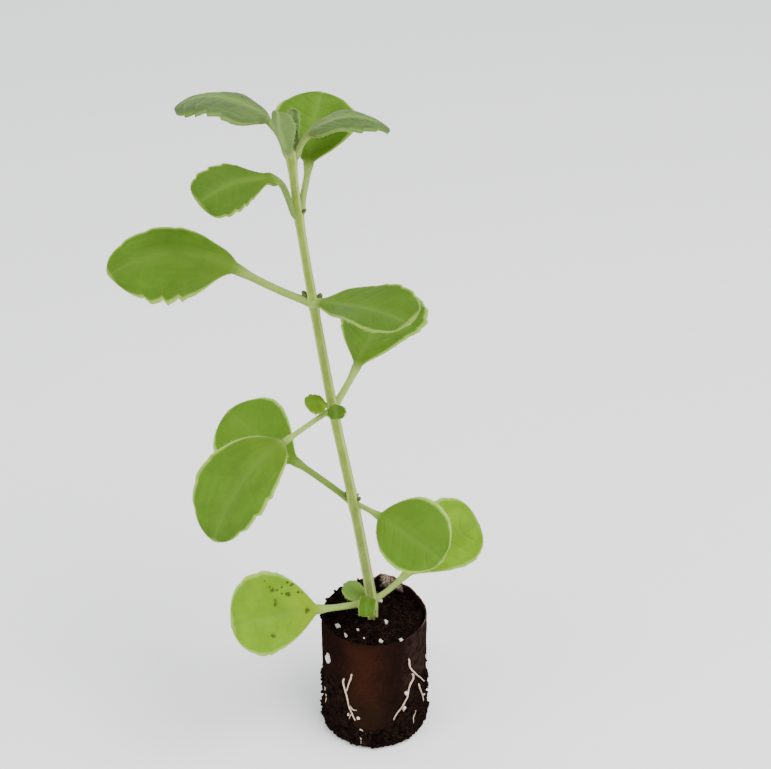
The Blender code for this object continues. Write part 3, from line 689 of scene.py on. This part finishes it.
def leaf_shape(leaf, look, blade_sections, sides):
    """Points of a leaf from the petiole's root to the blade's tip, with what its material needs."""
    along_blade = (1 - np.cos(np.linspace(0, np.pi, blade_sections))) / 2
    petiole_sections = max(10, blade_sections // 4)
    along_petiole = np.arange(petiole_sections) / petiole_sections
    s = np.concatenate([along_petiole * leaf.petiole, leaf.petiole + along_blade * leaf.length])
    u = np.clip(s / leaf.petiole, 0, 1)
    t = np.clip((s - leaf.petiole) / leaf.length, 0, 1)
    seed = leaf.heading + 10 * leaf.length

    steepest = min(leaf.rise, math.degrees(look.petiole_start))
    rise = steepest + (leaf.rise - steepest) * ease(s / look.lift_length)
    pitch = rise + (leaf.pitch - rise) * ease(u)**leaf.bend + (leaf.tip_pitch - leaf.pitch) * t
    spread = ease((u - TURN_START) / (1 - TURN_START))
    heading = np.radians(leaf.heading + leaf.turn * spread + leaf.sweep * t)
    pitch, roll = np.radians(pitch), np.radians(leaf.roll * spread)

    tangent = direction(heading, pitch)
    steps = (tangent[1:] + tangent[:-1]) / 2 * np.diff(s)[:, None]
    midrib = stem_point(PAIR_HEIGHTS[leaf.pair]) + np.vstack([np.zeros(3), np.cumsum(steps, axis=0)])
    level = np.stack([-np.sin(heading), np.cos(heading), 0 * heading], -1)
    upright = np.cross(tangent, level)
    side = level * np.cos(roll)[:, None] + upright * np.sin(roll)[:, None]
    top = np.cross(tangent, side)

    peak = leaf.taper / (leaf.taper + leaf.bluntness)
    fullest = peak**leaf.taper * (1 - peak)**leaf.bluntness
    outline = np.maximum(t, 0)**leaf.taper * np.maximum(1 - t, 0)**leaf.bluntness / fullest
    stalk = leaf.thickness / 2 * (1 + FOOT_SWELL * np.exp(-(s / FOOT_REACH)**2))
    widening = NECKS.get(leaf.name, PLAIN_NECK)
    neck = stalk * (1 + widening * np.exp(-((s - leaf.petiole) / (NECK_REACH * leaf.length))**2))

    def half_width(which):
        depth = leaf.tooth_depth * np.sqrt(t) * SAW_EDGES.get(leaf.name, (1, 1))[which]
        half = leaf.width / 2 * outline * (1 + depth * (scallops(t, leaf.teeth, seed + 50 * which) - 0.75))
        return np.where(t < 1, np.sqrt(half**2 + neck**2 * (1 - ease(t / 0.5))), look.edge_thickness / 2)

    angles = full_turn(sides)
    turned = np.cos(angles)
    even = 1 - 2 * np.arccos(np.abs(turned)) / np.pi
    across = (np.sign(turned) * (0.6 * even + 0.4 * np.abs(turned)))[None]
    off = np.abs(across)               # 0 on the midrib and 1 on the edge
    row = t[:, None]
    blade = ease(row / FORM_REACH)     # 0 on the petiole and 1 on the blade
    half = np.where(across > 0, half_width(0)[:, None], half_width(1)[:, None])
    half = half * (1 + leaf.lopsided * blade * np.sign(across))

    power = 2 + 1.6 * blade
    profile = (1 - off**power)**(1 / power) * np.sign(np.sin(angles))[None]
    profile[:, [0, sides // 2]] = 0
    thinnest = look.edge_thickness / 2
    thick = stalk[:, None] * (1 - blade) + look.blade_thickness / 2 * blade
    thick = np.where(row > 0, thinnest + (thick - thinnest) * (1 - 0.35 * off**2), thick)
    thick = thick + (thinnest - thick) * ease((row - 0.8) / 0.2)

    reach = MIDRIB_WIDTH * (1 - 0.6 * row)
    spine = np.exp(-(across * half / reach)**2) * blade
    laterals = lateral_veins(row, across) * (1 - off**4) * ease(row / 0.1) * ease((1 - row) / 0.12)
    quilt = look.quilting * (1 - laterals) * (1 - spine) * (1 - across**2) * blade
    upper = np.sign(profile)
    relief = np.where(upper > 0, quilt - look.vein_depth * np.maximum(spine, 0.6 * laterals),
                      -quilt - 1.6 * look.vein_depth * np.maximum(spine, 0.5 * laterals))

    fold = math.radians(leaf.fold) * outline[:, None]
    soft = np.sqrt(across**2 + 0.03) - math.sqrt(0.03)
    phase = 2 * np.pi * (WAVES * row + 0.13 * seed) + np.where(across > 0, 0.0, 2.1)
    wave = look.ripple * off**2 * np.sin(phase) * ease(row / 0.3) * min(1.0, leaf.length / 0.03)
    wave = wave - EDGE_CURLS.get(leaf.name, 0.0) * off**5 * blade
    raised = soft * half * np.sin(fold) + profile * thick + relief * min(1.0, leaf.length / 0.02) + wave
    out = across * half * np.cos(fold)
    points = midrib[:, None] + side[:, None] * out[..., None] + top[:, None] * raised[..., None]
    points = points + top[:, None] * (UNEVENNESS * wobble(points, 0.009, seed % 17) * blade)[..., None]

    pale = 1 - ease((s - leaf.petiole + 0.10 * leaf.length) / (0.17 * leaf.length))
    marks = {
        "young": float(leaf.name in YOUNG),
        "deep": TONES_AND_SHADE.get(leaf.name, 0.0),
        "across": across,
        "along": row,
        "petiole": PETIOLE_PALENESS_AND_SHADE.get(leaf.name, 1.0) * pale[:, None],
        "upper": upper,
        "vein": np.clip(np.maximum(spine, 0.55 * laterals), 0, 1),
    }
    return points, {key: np.broadcast_to(value, points.shape[:2]) for key, value in marks.items()}


# for each leaf finish, the strength of: the sheen, the pale edge (partly down, partly a painted rim
# highlight), the streaks and dark tip, the light base
LEAF_FINISHES = {
    "leaf_green": (1.0, 0.80, 0.25, 0.35),
    "leaf_yellow_green": (0.4, 0.85, 0.15, 0.90),
    "leaf_grey_green": (1.3, 0.22, 0.80, 0.20),
}


def leaf_material(name, look):
    """Velvety leaf: a mottled blade with paler veins, a pale edge that is partly down and partly a painted
    rim highlight, and a paler underside; some leaves get painted shade.
    """
    finish = Finish(name)
    down_share, edge_and_highlight_share, streak_share, base_share = LEAF_FINISHES[name]
    green = getattr(look, name.removeprefix("leaf_"))      # the setting that the finish is named after
    light = shaded(green, 1.14)
    sideways, along, deep = finish.mark("across"), finish.mark("along"), finish.mark("deep")
    petiole, upper, vein = finish.mark("petiole"), finish.mark("upper"), finish.mark("vein")
    across = abs(sideways)
    broad, fine = finish.noise(95, 3, 0.6), finish.noise(900, 4, 0.65)
    hairs = finish.noise(7000, 2, 0.8)
    lengthwise = finish.node("ShaderNodeCombineXYZ", None, {0: along * 2.5, 1: sideways * 5.0})
    streaks = finish.noise(1.3, 3, 0.6, lengthwise)
    edge = (across + (fine - 0.5) * 0.04).step(0.88, 0.97)
    edge_or_tip = finish.math("MAXIMUM", edge, along.step(0.965, 1.0))
    # pale edge and tip: partly down, partly a painted rim highlight
    pale_margin_and_highlight = edge_or_tip * (1 - deep * 0.5) * along.step(0.01, 0.10)
    below = upper.step(0.1, -0.4)
    base = finish.coats(
        finish.mix(broad.step(0.35, 0.68), shaded(green, 0.88), light),
        # darker or lighter per leaf: its own tone, and painted shade on leaf_high_left
        (deep, shaded(green, 0.60)),
        (streaks.step(0.42, 0.62) * streak_share, shaded(green, 0.62)),
        (across.step(0.40, 0.0) * streak_share * 0.7, look.vein),
        (0 - deep, shaded(green, 1.35)),
        (along.step(0.45, 0.02) * base_share, (1.5 * green[0], 1.15 * green[1], green[2])),
        (finish.mark("young") * 0.55, look.bud),
        ((fine * hairs).step(0.17, 0.42) * 0.30, light),
        (vein.step(0.05, 1.0) * 0.17, look.vein),
        # the pale edge, partly a painted rim highlight
        (pale_margin_and_highlight * edge_and_highlight_share, look.edge),
        (along.step(0.88, 1.0) * streak_share * 0.8, shaded(green, 0.45)),
        (below * 0.65, look.underside),
        (below * vein.step(0.1, 0.9) * 0.5, look.stalk),
        # the petiole's pale down, held back on leaf_high_left as painted shade
        (petiole, finish.mix(fine.step(0.35, 0.7), look.stalk, shaded(look.stalk, 0.86))))
    down = finish.bump(finish.cells(750) * 0.5 + hairs * 0.5, 0.00016, 0.45)
    return finish.set(base_color=base, roughness=0.60, normal=down, sheen_weight=look.down * down_share,
                      sheen_roughness=0.45, sheen_tint=(0.80, 0.93, 0.55), specular_ior_level=0.10,
                      subsurface_weight=0.06, subsurface_radius=(0.6, 1.0, 0.2), subsurface_scale=0.0012)


class OREGANO_OT_leaves(bpy.types.Operator):
    """Grow the leaves in opposite pairs, with the young leaves and the small shoots"""
    bl_idname = "oregano.leaves"
    bl_label = "Leaves"

    def execute(self, context):
        look = context.scene.oregano_leaves
        finishes = {name: leaf_material(name, look) for name in LEAF_FINISHES}
        coarser = 1
        for leaf in LEAVES:
            sections, sides = FINE_LEAF if leaf.length > LARGE_BLADE else PLAIN_LEAF
            points, marks = leaf_shape(leaf, look, sections // coarser, sides // coarser)
            body = loft(leaf.name + "_skin", points, marks)
            finish_piece(body, finishes[leaf.finish], leaf.finish, leaf.name)
        return {"FINISHED"}


# ---- down ----

def hair(root, out, length, rng):
    """A short hair that tapers and leans as it grows."""
    out = out / np.linalg.norm(out) + rng.normal(0, 0.25, 3)
    lean = rng.normal(0, 0.18, 3)
    steps = np.array([-0.15, 0.5, 1.0])[:, None]
    path = root + length * (steps * out + steps**2 * lean)
    return tube_rings(path, length * np.array([0.055, 0.045, 0.015]), 3)


class OREGANO_OT_down(bpy.types.Operator):
    """Cover the stem, the petioles and the leaf edges with short pale hairs"""
    bl_idname = "oregano.down"
    bl_label = "Down"

    def execute(self, context):
        look, stem = context.scene.oregano_leaves, context.scene.oregano_stem
        rng = np.random.default_rng(17)
        sides = PLAIN_LEAF[1]
        hairs = []
        for leaf in LEAVES:
            points, marks = leaf_shape(leaf, look, *PLAIN_LEAF)
            middle = points.mean(axis=1)
            on_blade = marks["along"][:, 0] > 0.02
            blade, stalk = np.flatnonzero(on_blade)[:-1], np.flatnonzero(~on_blade)[1:]
            for rows, places, number, shortest, longest in [
                    (blade, [0, sides // 2], look.edge_hairs * leaf.length, 0.6, 1.2),
                    (stalk, np.arange(sides), look.stalk_hairs * leaf.petiole, 0.5, 1.0)]:
                for _ in range(int(number)):
                    row, side = rng.choice(rows), rng.choice(places)
                    root = points[row, side] + (points[row + 1, side] - points[row, side]) * rng.uniform(0, 1)
                    size = rng.uniform(shortest, longest) * look.hair_length
                    hairs.append(hair(root, root - middle[row], size, rng))
        for _ in range(int(look.stalk_hairs * STEM_TIP)):
            height, turn = rng.uniform(0.002, STEM_TIP), rng.uniform(0, 2 * math.pi)
            out = np.array([math.cos(turn), math.sin(turn), 0.0])
            root = stem_point(height) + stem_radius(stem, height) * out
            hairs.append(hair(root, out, rng.uniform(0.5, 1.0) * look.hair_length, rng))
        finish_piece(join_tubes("velvet_down", hairs), mottled_material("down"), "stem")
        return {"FINISHED"}


# ---- soil ----

SOIL_SIDES = 300
SOIL_SIDE_RINGS, SOIL_TOP_RINGS = 70, 48
CRUMB_SIZES = (0.00022, 0.00075)
SMEARS = 6                     # smears that make up one splash


def signed(angle):
    """The same angle between -180 and 180 degrees."""
    return (np.asarray(angle, float) + 180) % 360 - 180


def torn_edge(angle):
    """The height of the paper's lower edge at an angle from the front."""
    away = np.abs(signed(angle))
    folded = np.where(away > 90, 180 - away, away)
    lift = np.where(away > 90, BACK_EDGE_LIFT * (1 - folded / 90), 0)
    return np.interp(folded, *zip(*TORN_EDGE)) + lift


def rim_rise(angle):
    """How far the rim rises or falls at an angle from the front."""
    return np.interp(signed(angle), *zip(*RIM_EDGE))


def on_plug(angle, radius, height):
    """A point round the plug: the angle is in degrees from its front, towards the right."""
    angle = np.radians(angle)
    return np.stack([radius * np.sin(angle), -radius * np.cos(angle), height + 0 * angle], -1)


def soil_surface(x, y, lump):
    """Height of the lumpy soil at a place: it rises to the stem."""
    spot = np.stack([x, y, 0 * x], -1)
    rise = wobble(spot, 0.006, 4) * 0.7 + wobble(spot, 0.0025, 9) * 0.45 + wobble(spot, 0.0011, 14) * 0.3
    mound = MOUND_HEIGHT * np.exp(-(x**2 + y**2) / MOUND_RADIUS**2)
    return SOIL_TOP + lump * rise + mound


def soil_height(x, y, lump=0.0):
    """Height of the soil at one place."""
    return float(soil_surface(np.array([x]), np.array([y]), lump)[0])


def soil_material(look):
    """Nearly black wet soil with drier brown crumbs."""
    finish = Finish("soil")
    broad, fine = finish.noise(420, 5, 0.7), finish.noise(2600, 4, 0.75)
    specks = finish.cells(1500).step(0.12, 0.0) * broad.step(0.56, 0.66) * 0.6
    base = finish.mix((broad * fine).step(0.20, 0.40), look.soil_dark, look.soil_light)
    return finish.set(base_color=finish.mix(specks, base, look.soil_speck),
                      roughness=fine.step(0.25, 0.7) * 0.35 + 0.55, specular_ior_level=0.0,
                      normal=finish.bump(fine * 0.6 + broad * 0.4, 0.0006, 0.8))


def soil_rings(look):
    """Rings of the soil from the middle of its underside, up its side and over its lumpy top."""
    round_plug = 360 * np.arange(SOIL_SIDES) / SOIL_SIDES
    under_paper = PLUG_RADIUS - PAPER_THICKNESS - 0.0009
    uncovered = PLUG_RADIUS - 0.0001
    rings = [on_plug(round_plug, part * PLUG_RADIUS, 0.0) for part in (0.3, 0.6, 0.9)]
    for height in np.linspace(0.0, SOIL_TOP - 0.001, SOIL_SIDE_RINGS):
        bare = ease((torn_edge(round_plug) + 0.0006 - height) / 0.0012)
        plain = on_plug(round_plug, PLUG_RADIUS, height)
        crumble = 0.55 * wobble(plain, 0.0035, 21) + 0.45 * wobble(plain, 0.0014, 27)
        rounding = 0.0011 * max(0.0, 1 - height / 0.0015)**2
        radius = under_paper * (1 - bare) + uncovered * bare + bare * 0.0006 * crumble - rounding
        rings.append(on_plug(round_plug, radius, height))
    for part in np.linspace(0.97, 0.02, SOIL_TOP_RINGS):
        flat = on_plug(round_plug, part * (PLUG_RADIUS - PAPER_THICKNESS - 0.0004), 0.0)
        flat[:, 2] = soil_surface(flat[:, 0], flat[:, 1], look.soil_lump)
        rings.append(flat)
    return rings


def soil_crumbs(look, rng):
    """Crumbs on the soil's top, on its bare side, round its foot and along the rim."""
    lumps = []
    for index in range(look.crumbs):
        size = rng.uniform(*CRUMB_SIZES) * (1.5 if rng.random() < 0.08 else 1.0)
        if index % 5 < 3:
            angle, radius = rng.uniform(0, 360), (PLUG_RADIUS - 0.0012) * math.sqrt(rng.uniform(0.01, 1))
            spot = on_plug(angle, radius, 0.0)
            spot[2] = soil_height(spot[0], spot[1], look.soil_lump) + 0.3 * size
        elif index % 5 == 3:
            size = size * rng.uniform(1.0, 1.5)
            angle = rng.uniform(0, 360)
            height = rng.uniform(0.0014, float(torn_edge(angle)) - 0.0003)
            spot = on_plug(angle, PLUG_RADIUS - 0.0001 + 0.2 * size, height)
        else:
            size = size * rng.uniform(1.0, 1.6)
            angle = rng.uniform(0, 360)
            spot = on_plug(angle, PLUG_RADIUS - 0.0004 + 0.3 * size, 1.6 * size + rng.exponential(0.0025))
        lumps.append(blob(spot, size, rng.uniform(0.6, 1.1), rng.uniform(0, 40)))
    for angle in rng.uniform(-165, -80, 60):
        size = rng.uniform(0.00035, 0.0008)
        height = PLUG_HEIGHT + rim_rise(angle) + rng.uniform(-0.0014, 0.0002)
        lumps.append(blob(on_plug(angle, PLUG_RADIUS - rng.uniform(0.0, 0.0022), height), size, 1.0, angle))
    return lumps


def leaf_splashes(look, rng):
    """Smears of soil on the upper face of the splashed leaf."""
    leaf = next(leaf for leaf in LEAVES if leaf.name == SPLASHED_LEAF)
    points, marks = leaf_shape(leaf, look, *PLAIN_LEAF)
    lumps = []
    for index, (along, across, radius) in enumerate(SPLASHES):
        away = abs(marks["along"] - along) + abs(marks["across"] - across) + (marks["upper"] <= 0)
        row, side = np.unravel_index(np.argmin(away), away.shape)
        outward = points[row, side] - points[row, -side]
        spot = points[row, side] + 0.15 * radius * outward / np.linalg.norm(outward)
        for part in range(SMEARS):
            shift, size = rng.normal(0, 0.4 * radius, 3), rng.uniform(0.45, 0.9) * radius
            lumps.append(blob(spot + shift, size, 0.5, 3.0 * index + part))
    return lumps


def soil_fibres(look, rng):
    """Short coir threads that lie on the soil's top."""
    threads = []
    for index in range(look.fibres):
        angle, radius = rng.uniform(0, 360), (PLUG_RADIUS - 0.0025) * math.sqrt(rng.uniform(0.05, 1))
        start = on_plug(angle, radius, 0.0)
        heading = rng.uniform(0, 2 * math.pi) + np.cumsum(rng.normal(0, 0.45, 6))
        steps = rng.uniform(0.0004, 0.0009) * direction(heading, 0 * heading)
        path = smooth_curve(start + np.vstack([np.zeros(3), np.cumsum(steps, axis=0)]), 4)
        far = np.linalg.norm(path[:, :2], axis=1)
        path[:, :2] *= np.minimum(1, (PLUG_RADIUS - 0.0012) / far)[:, None]
        lift = 0.0002 + 0.0005 * np.abs(wobble(path, 0.002, 3.1 * index))
        path[:, 2] = soil_surface(path[:, 0], path[:, 1], look.soil_lump) + lift
        threads.append(tube_rings(path, np.full(len(path), rng.uniform(0.00006, 0.00011)), 6))
    return threads


class OREGANO_OT_soil(bpy.types.Operator):
    """Fill the plug with lumpy soil, loose crumbs and fibres, and splash soil on a leaf"""
    bl_idname = "oregano.soil"
    bl_label = "Soil"

    def execute(self, context):
        look = context.scene.oregano_plug
        material = soil_material(look)
        rng = np.random.default_rng(41)
        finish_piece(loft("soil_body", soil_rings(look)), material, "soil", "soil_plug")
        finish_piece(scatter("soil_crumbs", soil_crumbs(look, rng)), material, "soil")
        splashes = leaf_splashes(context.scene.oregano_leaves, rng)
        finish_piece(scatter("soil_specks", splashes), mottled_material("splash"), "soil")
        finish_piece(join_tubes("soil_fibres", soil_fibres(look, rng)), mottled_material("fibre"), "soil")
        return {"FINISHED"}


# ---- paper ----

PAPER_SIDES, PAPER_ROWS = 420, 64
RIM_RAGGEDNESS = 0.28          # how ragged the rim is beside the torn lower edge


def paper_material(look):
    """Thin damp paper: brown in front, darker round the sides from wet stain and painted shade where the
    sleeve curves away, with painted light in greyer patches on the right, and dry at the back of the rim.
    """
    finish = Finish("paper")
    turn, height, rim = finish.mark("turn"), finish.mark("height"), finish.mark("rim")
    broad, blotch = finish.noise(120, 4, 0.6), finish.noise(420, 4, 0.65)
    fibres = finish.noise(3200, 3, 0.7, finish.drawn_out(0.25))
    # darker beyond the front: partly wet stain, partly painted shade where the sleeve curves away
    spread = abs(turn + 0.065) + (broad - 0.5) * 0.14 + (blotch - 0.5) * 0.08
    low = (height + (broad - 0.5) * 0.3).step(0.62, 0.26) * 0.6
    high = (height + (blotch - 0.5) * 0.10).step(0.90, 1.0) * 0.75
    stain_and_shade = finish.math("MAXIMUM", finish.math("MAXIMUM", spread.step(0.0, 0.18), low), high)
    olive = (height.step(0.62, 0.30) + (blotch - 0.5) * 0.8).step(0.2, 1.0)
    # painted light: greyer, lighter patches up the right side, which faces the light
    grey = turn.step(0.16, 0.24) * turn.step(0.85, 0.45) * height.step(0.35, 0.55) * blotch.step(0.35, 0.65)
    ragged = turn + (blotch - 0.5) * 0.12
    tongue = ragged.step(0.80, 0.84) * ragged.step(0.97, 0.94)
    dry = tongue * (broad * 0.5 + blotch * 0.5).step(0.34, 0.50) * height.step(0.90, 0.94)
    crust = finish.noise(1500, 3, 0.75).step(0.47, 0.57) * dry
    frayed = rim.step(0.978, 0.995) * turn.step(0.30, 0.42) * fibres.step(0.36, 0.60)
    brown = look.paper_brown
    base = finish.coats(
        finish.mix(fibres.step(0.3, 0.75), shaded(brown, 0.8), shaded(brown, 1.25)),
        (olive * 0.6, look.paper_olive),
        # wet stain and painted shade round the sides
        (stain_and_shade * 0.92, look.paper_stain_and_shade),
        # painted light on the right side
        (grey * 0.55, look.paper_painted_light),
        ((blotch * fibres).step(0.24, 0.42) * 0.25, shaded(brown, 1.8)),
        (dry * 0.9, look.paper_dry),
        (crust, look.paper_crust),
        (frayed * 0.7, look.paper_dry))
    return finish.set(base_color=base, roughness=0.85 - 0.15 * stain_and_shade, specular_ior_level=0.0,
                      normal=finish.bump(fibres * 0.6 + blotch * 0.4, 0.0004, 0.6))


def round_the_sheet(outer, inner, lip=0.0):
    """Rows of the sheet's outer face, upper lip, inner face and lower lip, in one closed round."""
    upper_lip = (outer[-1:] + inner[:1]) / 2 + lip
    lower_lip = (outer[:1] + inner[-1:]) / 2 - lip
    return np.concatenate([outer, upper_lip, inner, lower_lip])


class OREGANO_OT_paper(bpy.types.Operator):
    """Wrap the soil in its paper sleeve, torn away below at the sides"""
    bl_idname = "oregano.paper"
    bl_label = "Paper"

    def execute(self, context):
        look = context.scene.oregano_plug
        sides, climb = PAPER_SIDES, np.linspace(0, 1, PAPER_ROWS)
        round_plug = 360 * np.arange(sides) / sides
        plain = on_plug(round_plug, PLUG_RADIUS, 0.0)
        ragged = 0.0014 * wobble(plain, 0.004, 31) + 0.0009 * wobble(plain, 0.0012, 33)
        low = torn_edge(round_plug) + ragged
        high = PLUG_HEIGHT - 0.0004 + rim_rise(round_plug) + RIM_RAGGEDNESS * ragged
        heights = low + (high - low) * climb[:, None]
        spots = np.array([on_plug(round_plug, PLUG_RADIUS, height) for height in heights])
        crease = 0.00022 * wobble(spots, 0.009, 35) + 0.00010 * wobble(spots, 0.003, 37)
        outer = np.array([on_plug(round_plug, PLUG_RADIUS - 0.0001 + bulge, height)
                          for bulge, height in zip(crease, heights)])
        inward = outer * (1, 1, 0)
        inward = inward / np.linalg.norm(inward, axis=-1, keepdims=True)
        inner = (outer - inward * PAPER_THICKNESS)[::-1]
        rings = round_the_sheet(outer, inner, np.array([0, 0, 0.25 * PAPER_THICKNESS]))
        faces = []
        for ring in range(len(rings)):
            below, above = ring * sides, (ring + 1) % len(rings) * sides
            faces += [(below + k, below + (k + 1) % sides, above + (k + 1) % sides, above + k)
                      for k in range(sides)]
        marks = {"turn": np.repeat(signed(round_plug)[None] / 180, len(rings), axis=0)}
        climbs = np.repeat(climb[:, None], sides, axis=1)
        for name, rows in (("height", heights / PLUG_HEIGHT), ("rim", climbs)):
            marks[name] = round_the_sheet(rows, rows[::-1])
        body = make_body("paper_wrap", rings, faces, marks)
        finish_piece(body, paper_material(look), "paper", "paper_sleeve")
        return {"FINISHED"}


# ---- roots ----

ROOT_SIDES, ROOTLET_SIDES = 14, 10
ROOTLET_RADIUS = 0.00026
ROOT_DRIFT, ROOTLET_DRIFT = 0.0003, 0.0002     # how far they stray from their smooth courses


def root_material(look):
    """Cream roots with browned stretches."""
    finish = Finish("root")
    brown = finish.noise(380, 3, 0.6).step(0.48, 0.66)
    return finish.set(base_color=finish.mix(brown * 0.8, look.root_pale, look.root_brown), roughness=0.6,
                      specular_ior_level=0.4, normal=finish.bump(finish.noise(4200, 3, 0.7), 0.0002, 0.5))


def root_path(depth, course):
    """A root's centre line: from the buried stem, out through the plug's side, then down it."""
    outside = PLUG_RADIUS + ROOT_STANDOFF
    angle, height = course[0]
    foot = stem_point(-depth)
    start = [foot, on_plug(angle, 0.5 * PLUG_RADIUS, 0.5 * (foot[2] + height)),
             on_plug(angle, PLUG_RADIUS - 2 * ROOT_RADIUS, height),
             on_plug(angle, outside, height - 4 * ROOT_RADIUS)]
    return smooth_curve(start + [on_plug(angle, outside, height) for angle, height in course[1:]], 16)


class OREGANO_OT_roots(bpy.types.Operator):
    """Grow the pale roots that come out of the plug"""
    bl_idname = "oregano.roots"
    bl_label = "Roots"

    def execute(self, context):
        look = context.scene.oregano_plug
        material = root_material(look)
        for name, (depth, course) in ROOTS.items():
            path = root_path(depth, course)
            path = path + ROOT_DRIFT * drift(path, 0.004, 51)
            radii = ROOT_RADIUS * np.linspace(1.05, 0.45, len(path)) * (1 + 0.22 * wobble(path, 0.0016, 57))
            body = loft(name + "_skin", tube_rings(path, radii, ROOT_SIDES))
            finish_piece(body, material, "root", name)
        tubes = []
        for course in ROOTLETS:
            path = smooth_curve([on_plug(angle, PLUG_RADIUS + 0.0001, height) for angle, height in course], 8)
            path = path + ROOTLET_DRIFT * drift(path, 0.002, 61)
            tubes.append(tube_rings(path, ROOTLET_RADIUS * np.linspace(1.1, 0.5, len(path)), ROOTLET_SIDES))
        finish_piece(join_tubes("rootlets", tubes), material, "root")
        return {"FINISHED"}


# ---- perlite ----

def perlite_material(look):
    """White porous grains, dusted with soil."""
    finish = Finish("perlite")
    dust = finish.noise(1500, 4, 0.7).step(0.52, 0.70)
    pores = finish.cells(3200).step(0.30, 0.0)
    base = finish.mix(dust * 0.7, look.perlite, look.perlite_dust)
    return finish.set(base_color=base, roughness=0.9, specular_ior_level=0.2,
                      normal=finish.bump(1 - pores, 0.0003, 0.7))


class OREGANO_OT_perlite(bpy.types.Operator):
    """Scatter the white perlite grains"""
    bl_idname = "oregano.perlite"
    bl_label = "Perlite"

    def execute(self, context):
        look = context.scene.oregano_plug
        material = perlite_material(look)
        for index, (x, y, radius) in enumerate(GRAINS, start=1):
            centre = np.array([x, y, soil_height(x, y) + 0.5 * radius])
            lump = blob(centre, radius, 0.8, 3.7 * index, GRAIN_MESH)
            body = scatter(f"perlite_{index}", [lump], GRAIN_MESH)
            finish_piece(body, material, "perlite", f"perlite_grain_{index}")
        lumps = []
        for index, (x, y, radius) in enumerate(SMALL_GRAINS):
            centre = np.array([x, y, soil_height(x, y, look.soil_lump) + 0.7 * radius])
            lumps.append(blob(centre, radius, 0.8, 2.3 * index, SMALL_GRAIN_MESH))
        for index, (angle, height, radius, tallness) in enumerate(SIDE_GRAINS):
            centre = on_plug(angle, PLUG_RADIUS + 0.15 * radius, height)
            lumps.append(blob(centre, radius, tallness, 5.1 * index, SMALL_GRAIN_MESH))
        finish_piece(scatter("perlite_bits", lumps, SMALL_GRAIN_MESH), material, "perlite")
        return {"FINISHED"}


# ---- stage ----

PLANT_MIDDLE = (-0.02, 0, 0.12)
CAMERA_PLACE = (0.0043, -0.5, 0.4745)
CAMERA_DIP = 32.75             # how far the camera looks down
FLOOR_REACH = 6


def area_light(name, place, size, power, tint):
    """A large soft light that faces the middle of the plant."""
    light = bpy.data.lights.new(name, "AREA")
    light.shape, light.size, light.energy, light.color = "DISK", size, power, tint
    lamp = bpy.data.objects.new(name, light)
    lamp.location = place
    lamp.rotation_euler = (Vector(PLANT_MIDDLE) - Vector(place)).to_track_quat("-Z", "Y").to_euler()
    bpy.context.scene.collection.objects.link(lamp)


class OREGANO_OT_stage(bpy.types.Operator):
    """Lay the floor, set the lights and place the camera"""
    bl_idname = "oregano.stage"
    bl_label = "Stage"

    def execute(self, context):
        scene, look = context.scene, context.scene.oregano_stage
        corners = [(FLOOR_REACH * x, FLOOR_REACH * y, 0) for x, y in ((-1, -1), (1, -1), (1, 1), (-1, 1))]
        floor = make_body("floor", corners, [(0, 1, 2, 3)])
        finish = Finish("floor")
        floor.data.materials.append(finish.set(base_color=look.floor, roughness=0.9, specular_ior_level=0.1))

        area_light("key_light", (0.55, -0.35, 1.1), 0.9, look.key_power, (1.0, 0.99, 0.98))
        area_light("fill_light", (-0.8, -0.5, 0.7), 0.8, look.fill_power, (0.98, 0.99, 1.0))
        world = bpy.data.worlds.new("soft_sky")
        world.use_nodes = True
        sky = world.node_tree.nodes["Background"].inputs
        sky["Color"].default_value = (0.95, 0.97, 1.0, 1)
        sky["Strength"].default_value = look.sky
        scene.world = world

        data = bpy.data.cameras.new("camera")
        data.lens, data.sensor_width, data.clip_start = look.lens, 36, 0.01
        camera = bpy.data.objects.new("camera", data)
        camera.location = CAMERA_PLACE
        camera.rotation_euler = (math.radians(90 - CAMERA_DIP), 0, 0)
        scene.collection.objects.link(camera)
        scene.camera = camera
        return {"FINISHED"}


# ---- add-on ----

class OREGANO_PT_panel(bpy.types.Panel):
    """Lists the steps that build the plant"""
    bl_idname = "OREGANO_PT_panel"
    bl_label = "Potted Cuban Oregano"
    bl_space_type = "VIEW_3D"
    bl_region_type = "UI"
    bl_category = "Oregano"

    def draw(self, context):
        for step in STEPS:
            self.layout.operator(step.bl_idname)


SETTINGS = {"oregano_leaves": OreganoLeaves, "oregano_stem": OreganoStem, "oregano_plug": OreganoPlug,
            "oregano_stage": OreganoStage}
STEPS = (OREGANO_OT_stage, OREGANO_OT_stem, OREGANO_OT_leaves, OREGANO_OT_down, OREGANO_OT_soil,
         OREGANO_OT_paper, OREGANO_OT_roots, OREGANO_OT_perlite)


def register():
    """Register the settings, the steps and the panel."""
    for name, group in SETTINGS.items():
        bpy.utils.register_class(group)
        setattr(bpy.types.Scene, name, PointerProperty(type=group))
    for cls in (*STEPS, OREGANO_PT_panel):
        bpy.utils.register_class(cls)


def unregister():
    """Take everything out again."""
    for cls in reversed((*STEPS, OREGANO_PT_panel)):
        bpy.utils.unregister_class(cls)
    for name, group in reversed(SETTINGS.items()):
        delattr(bpy.types.Scene, name)
        bpy.utils.unregister_class(group)


def main():
    """Build the whole object."""
    register()
    for step in STEPS:
        getattr(bpy.ops.oregano, step.bl_idname.removeprefix("oregano."))()


if __name__ == "__main__":
    main()
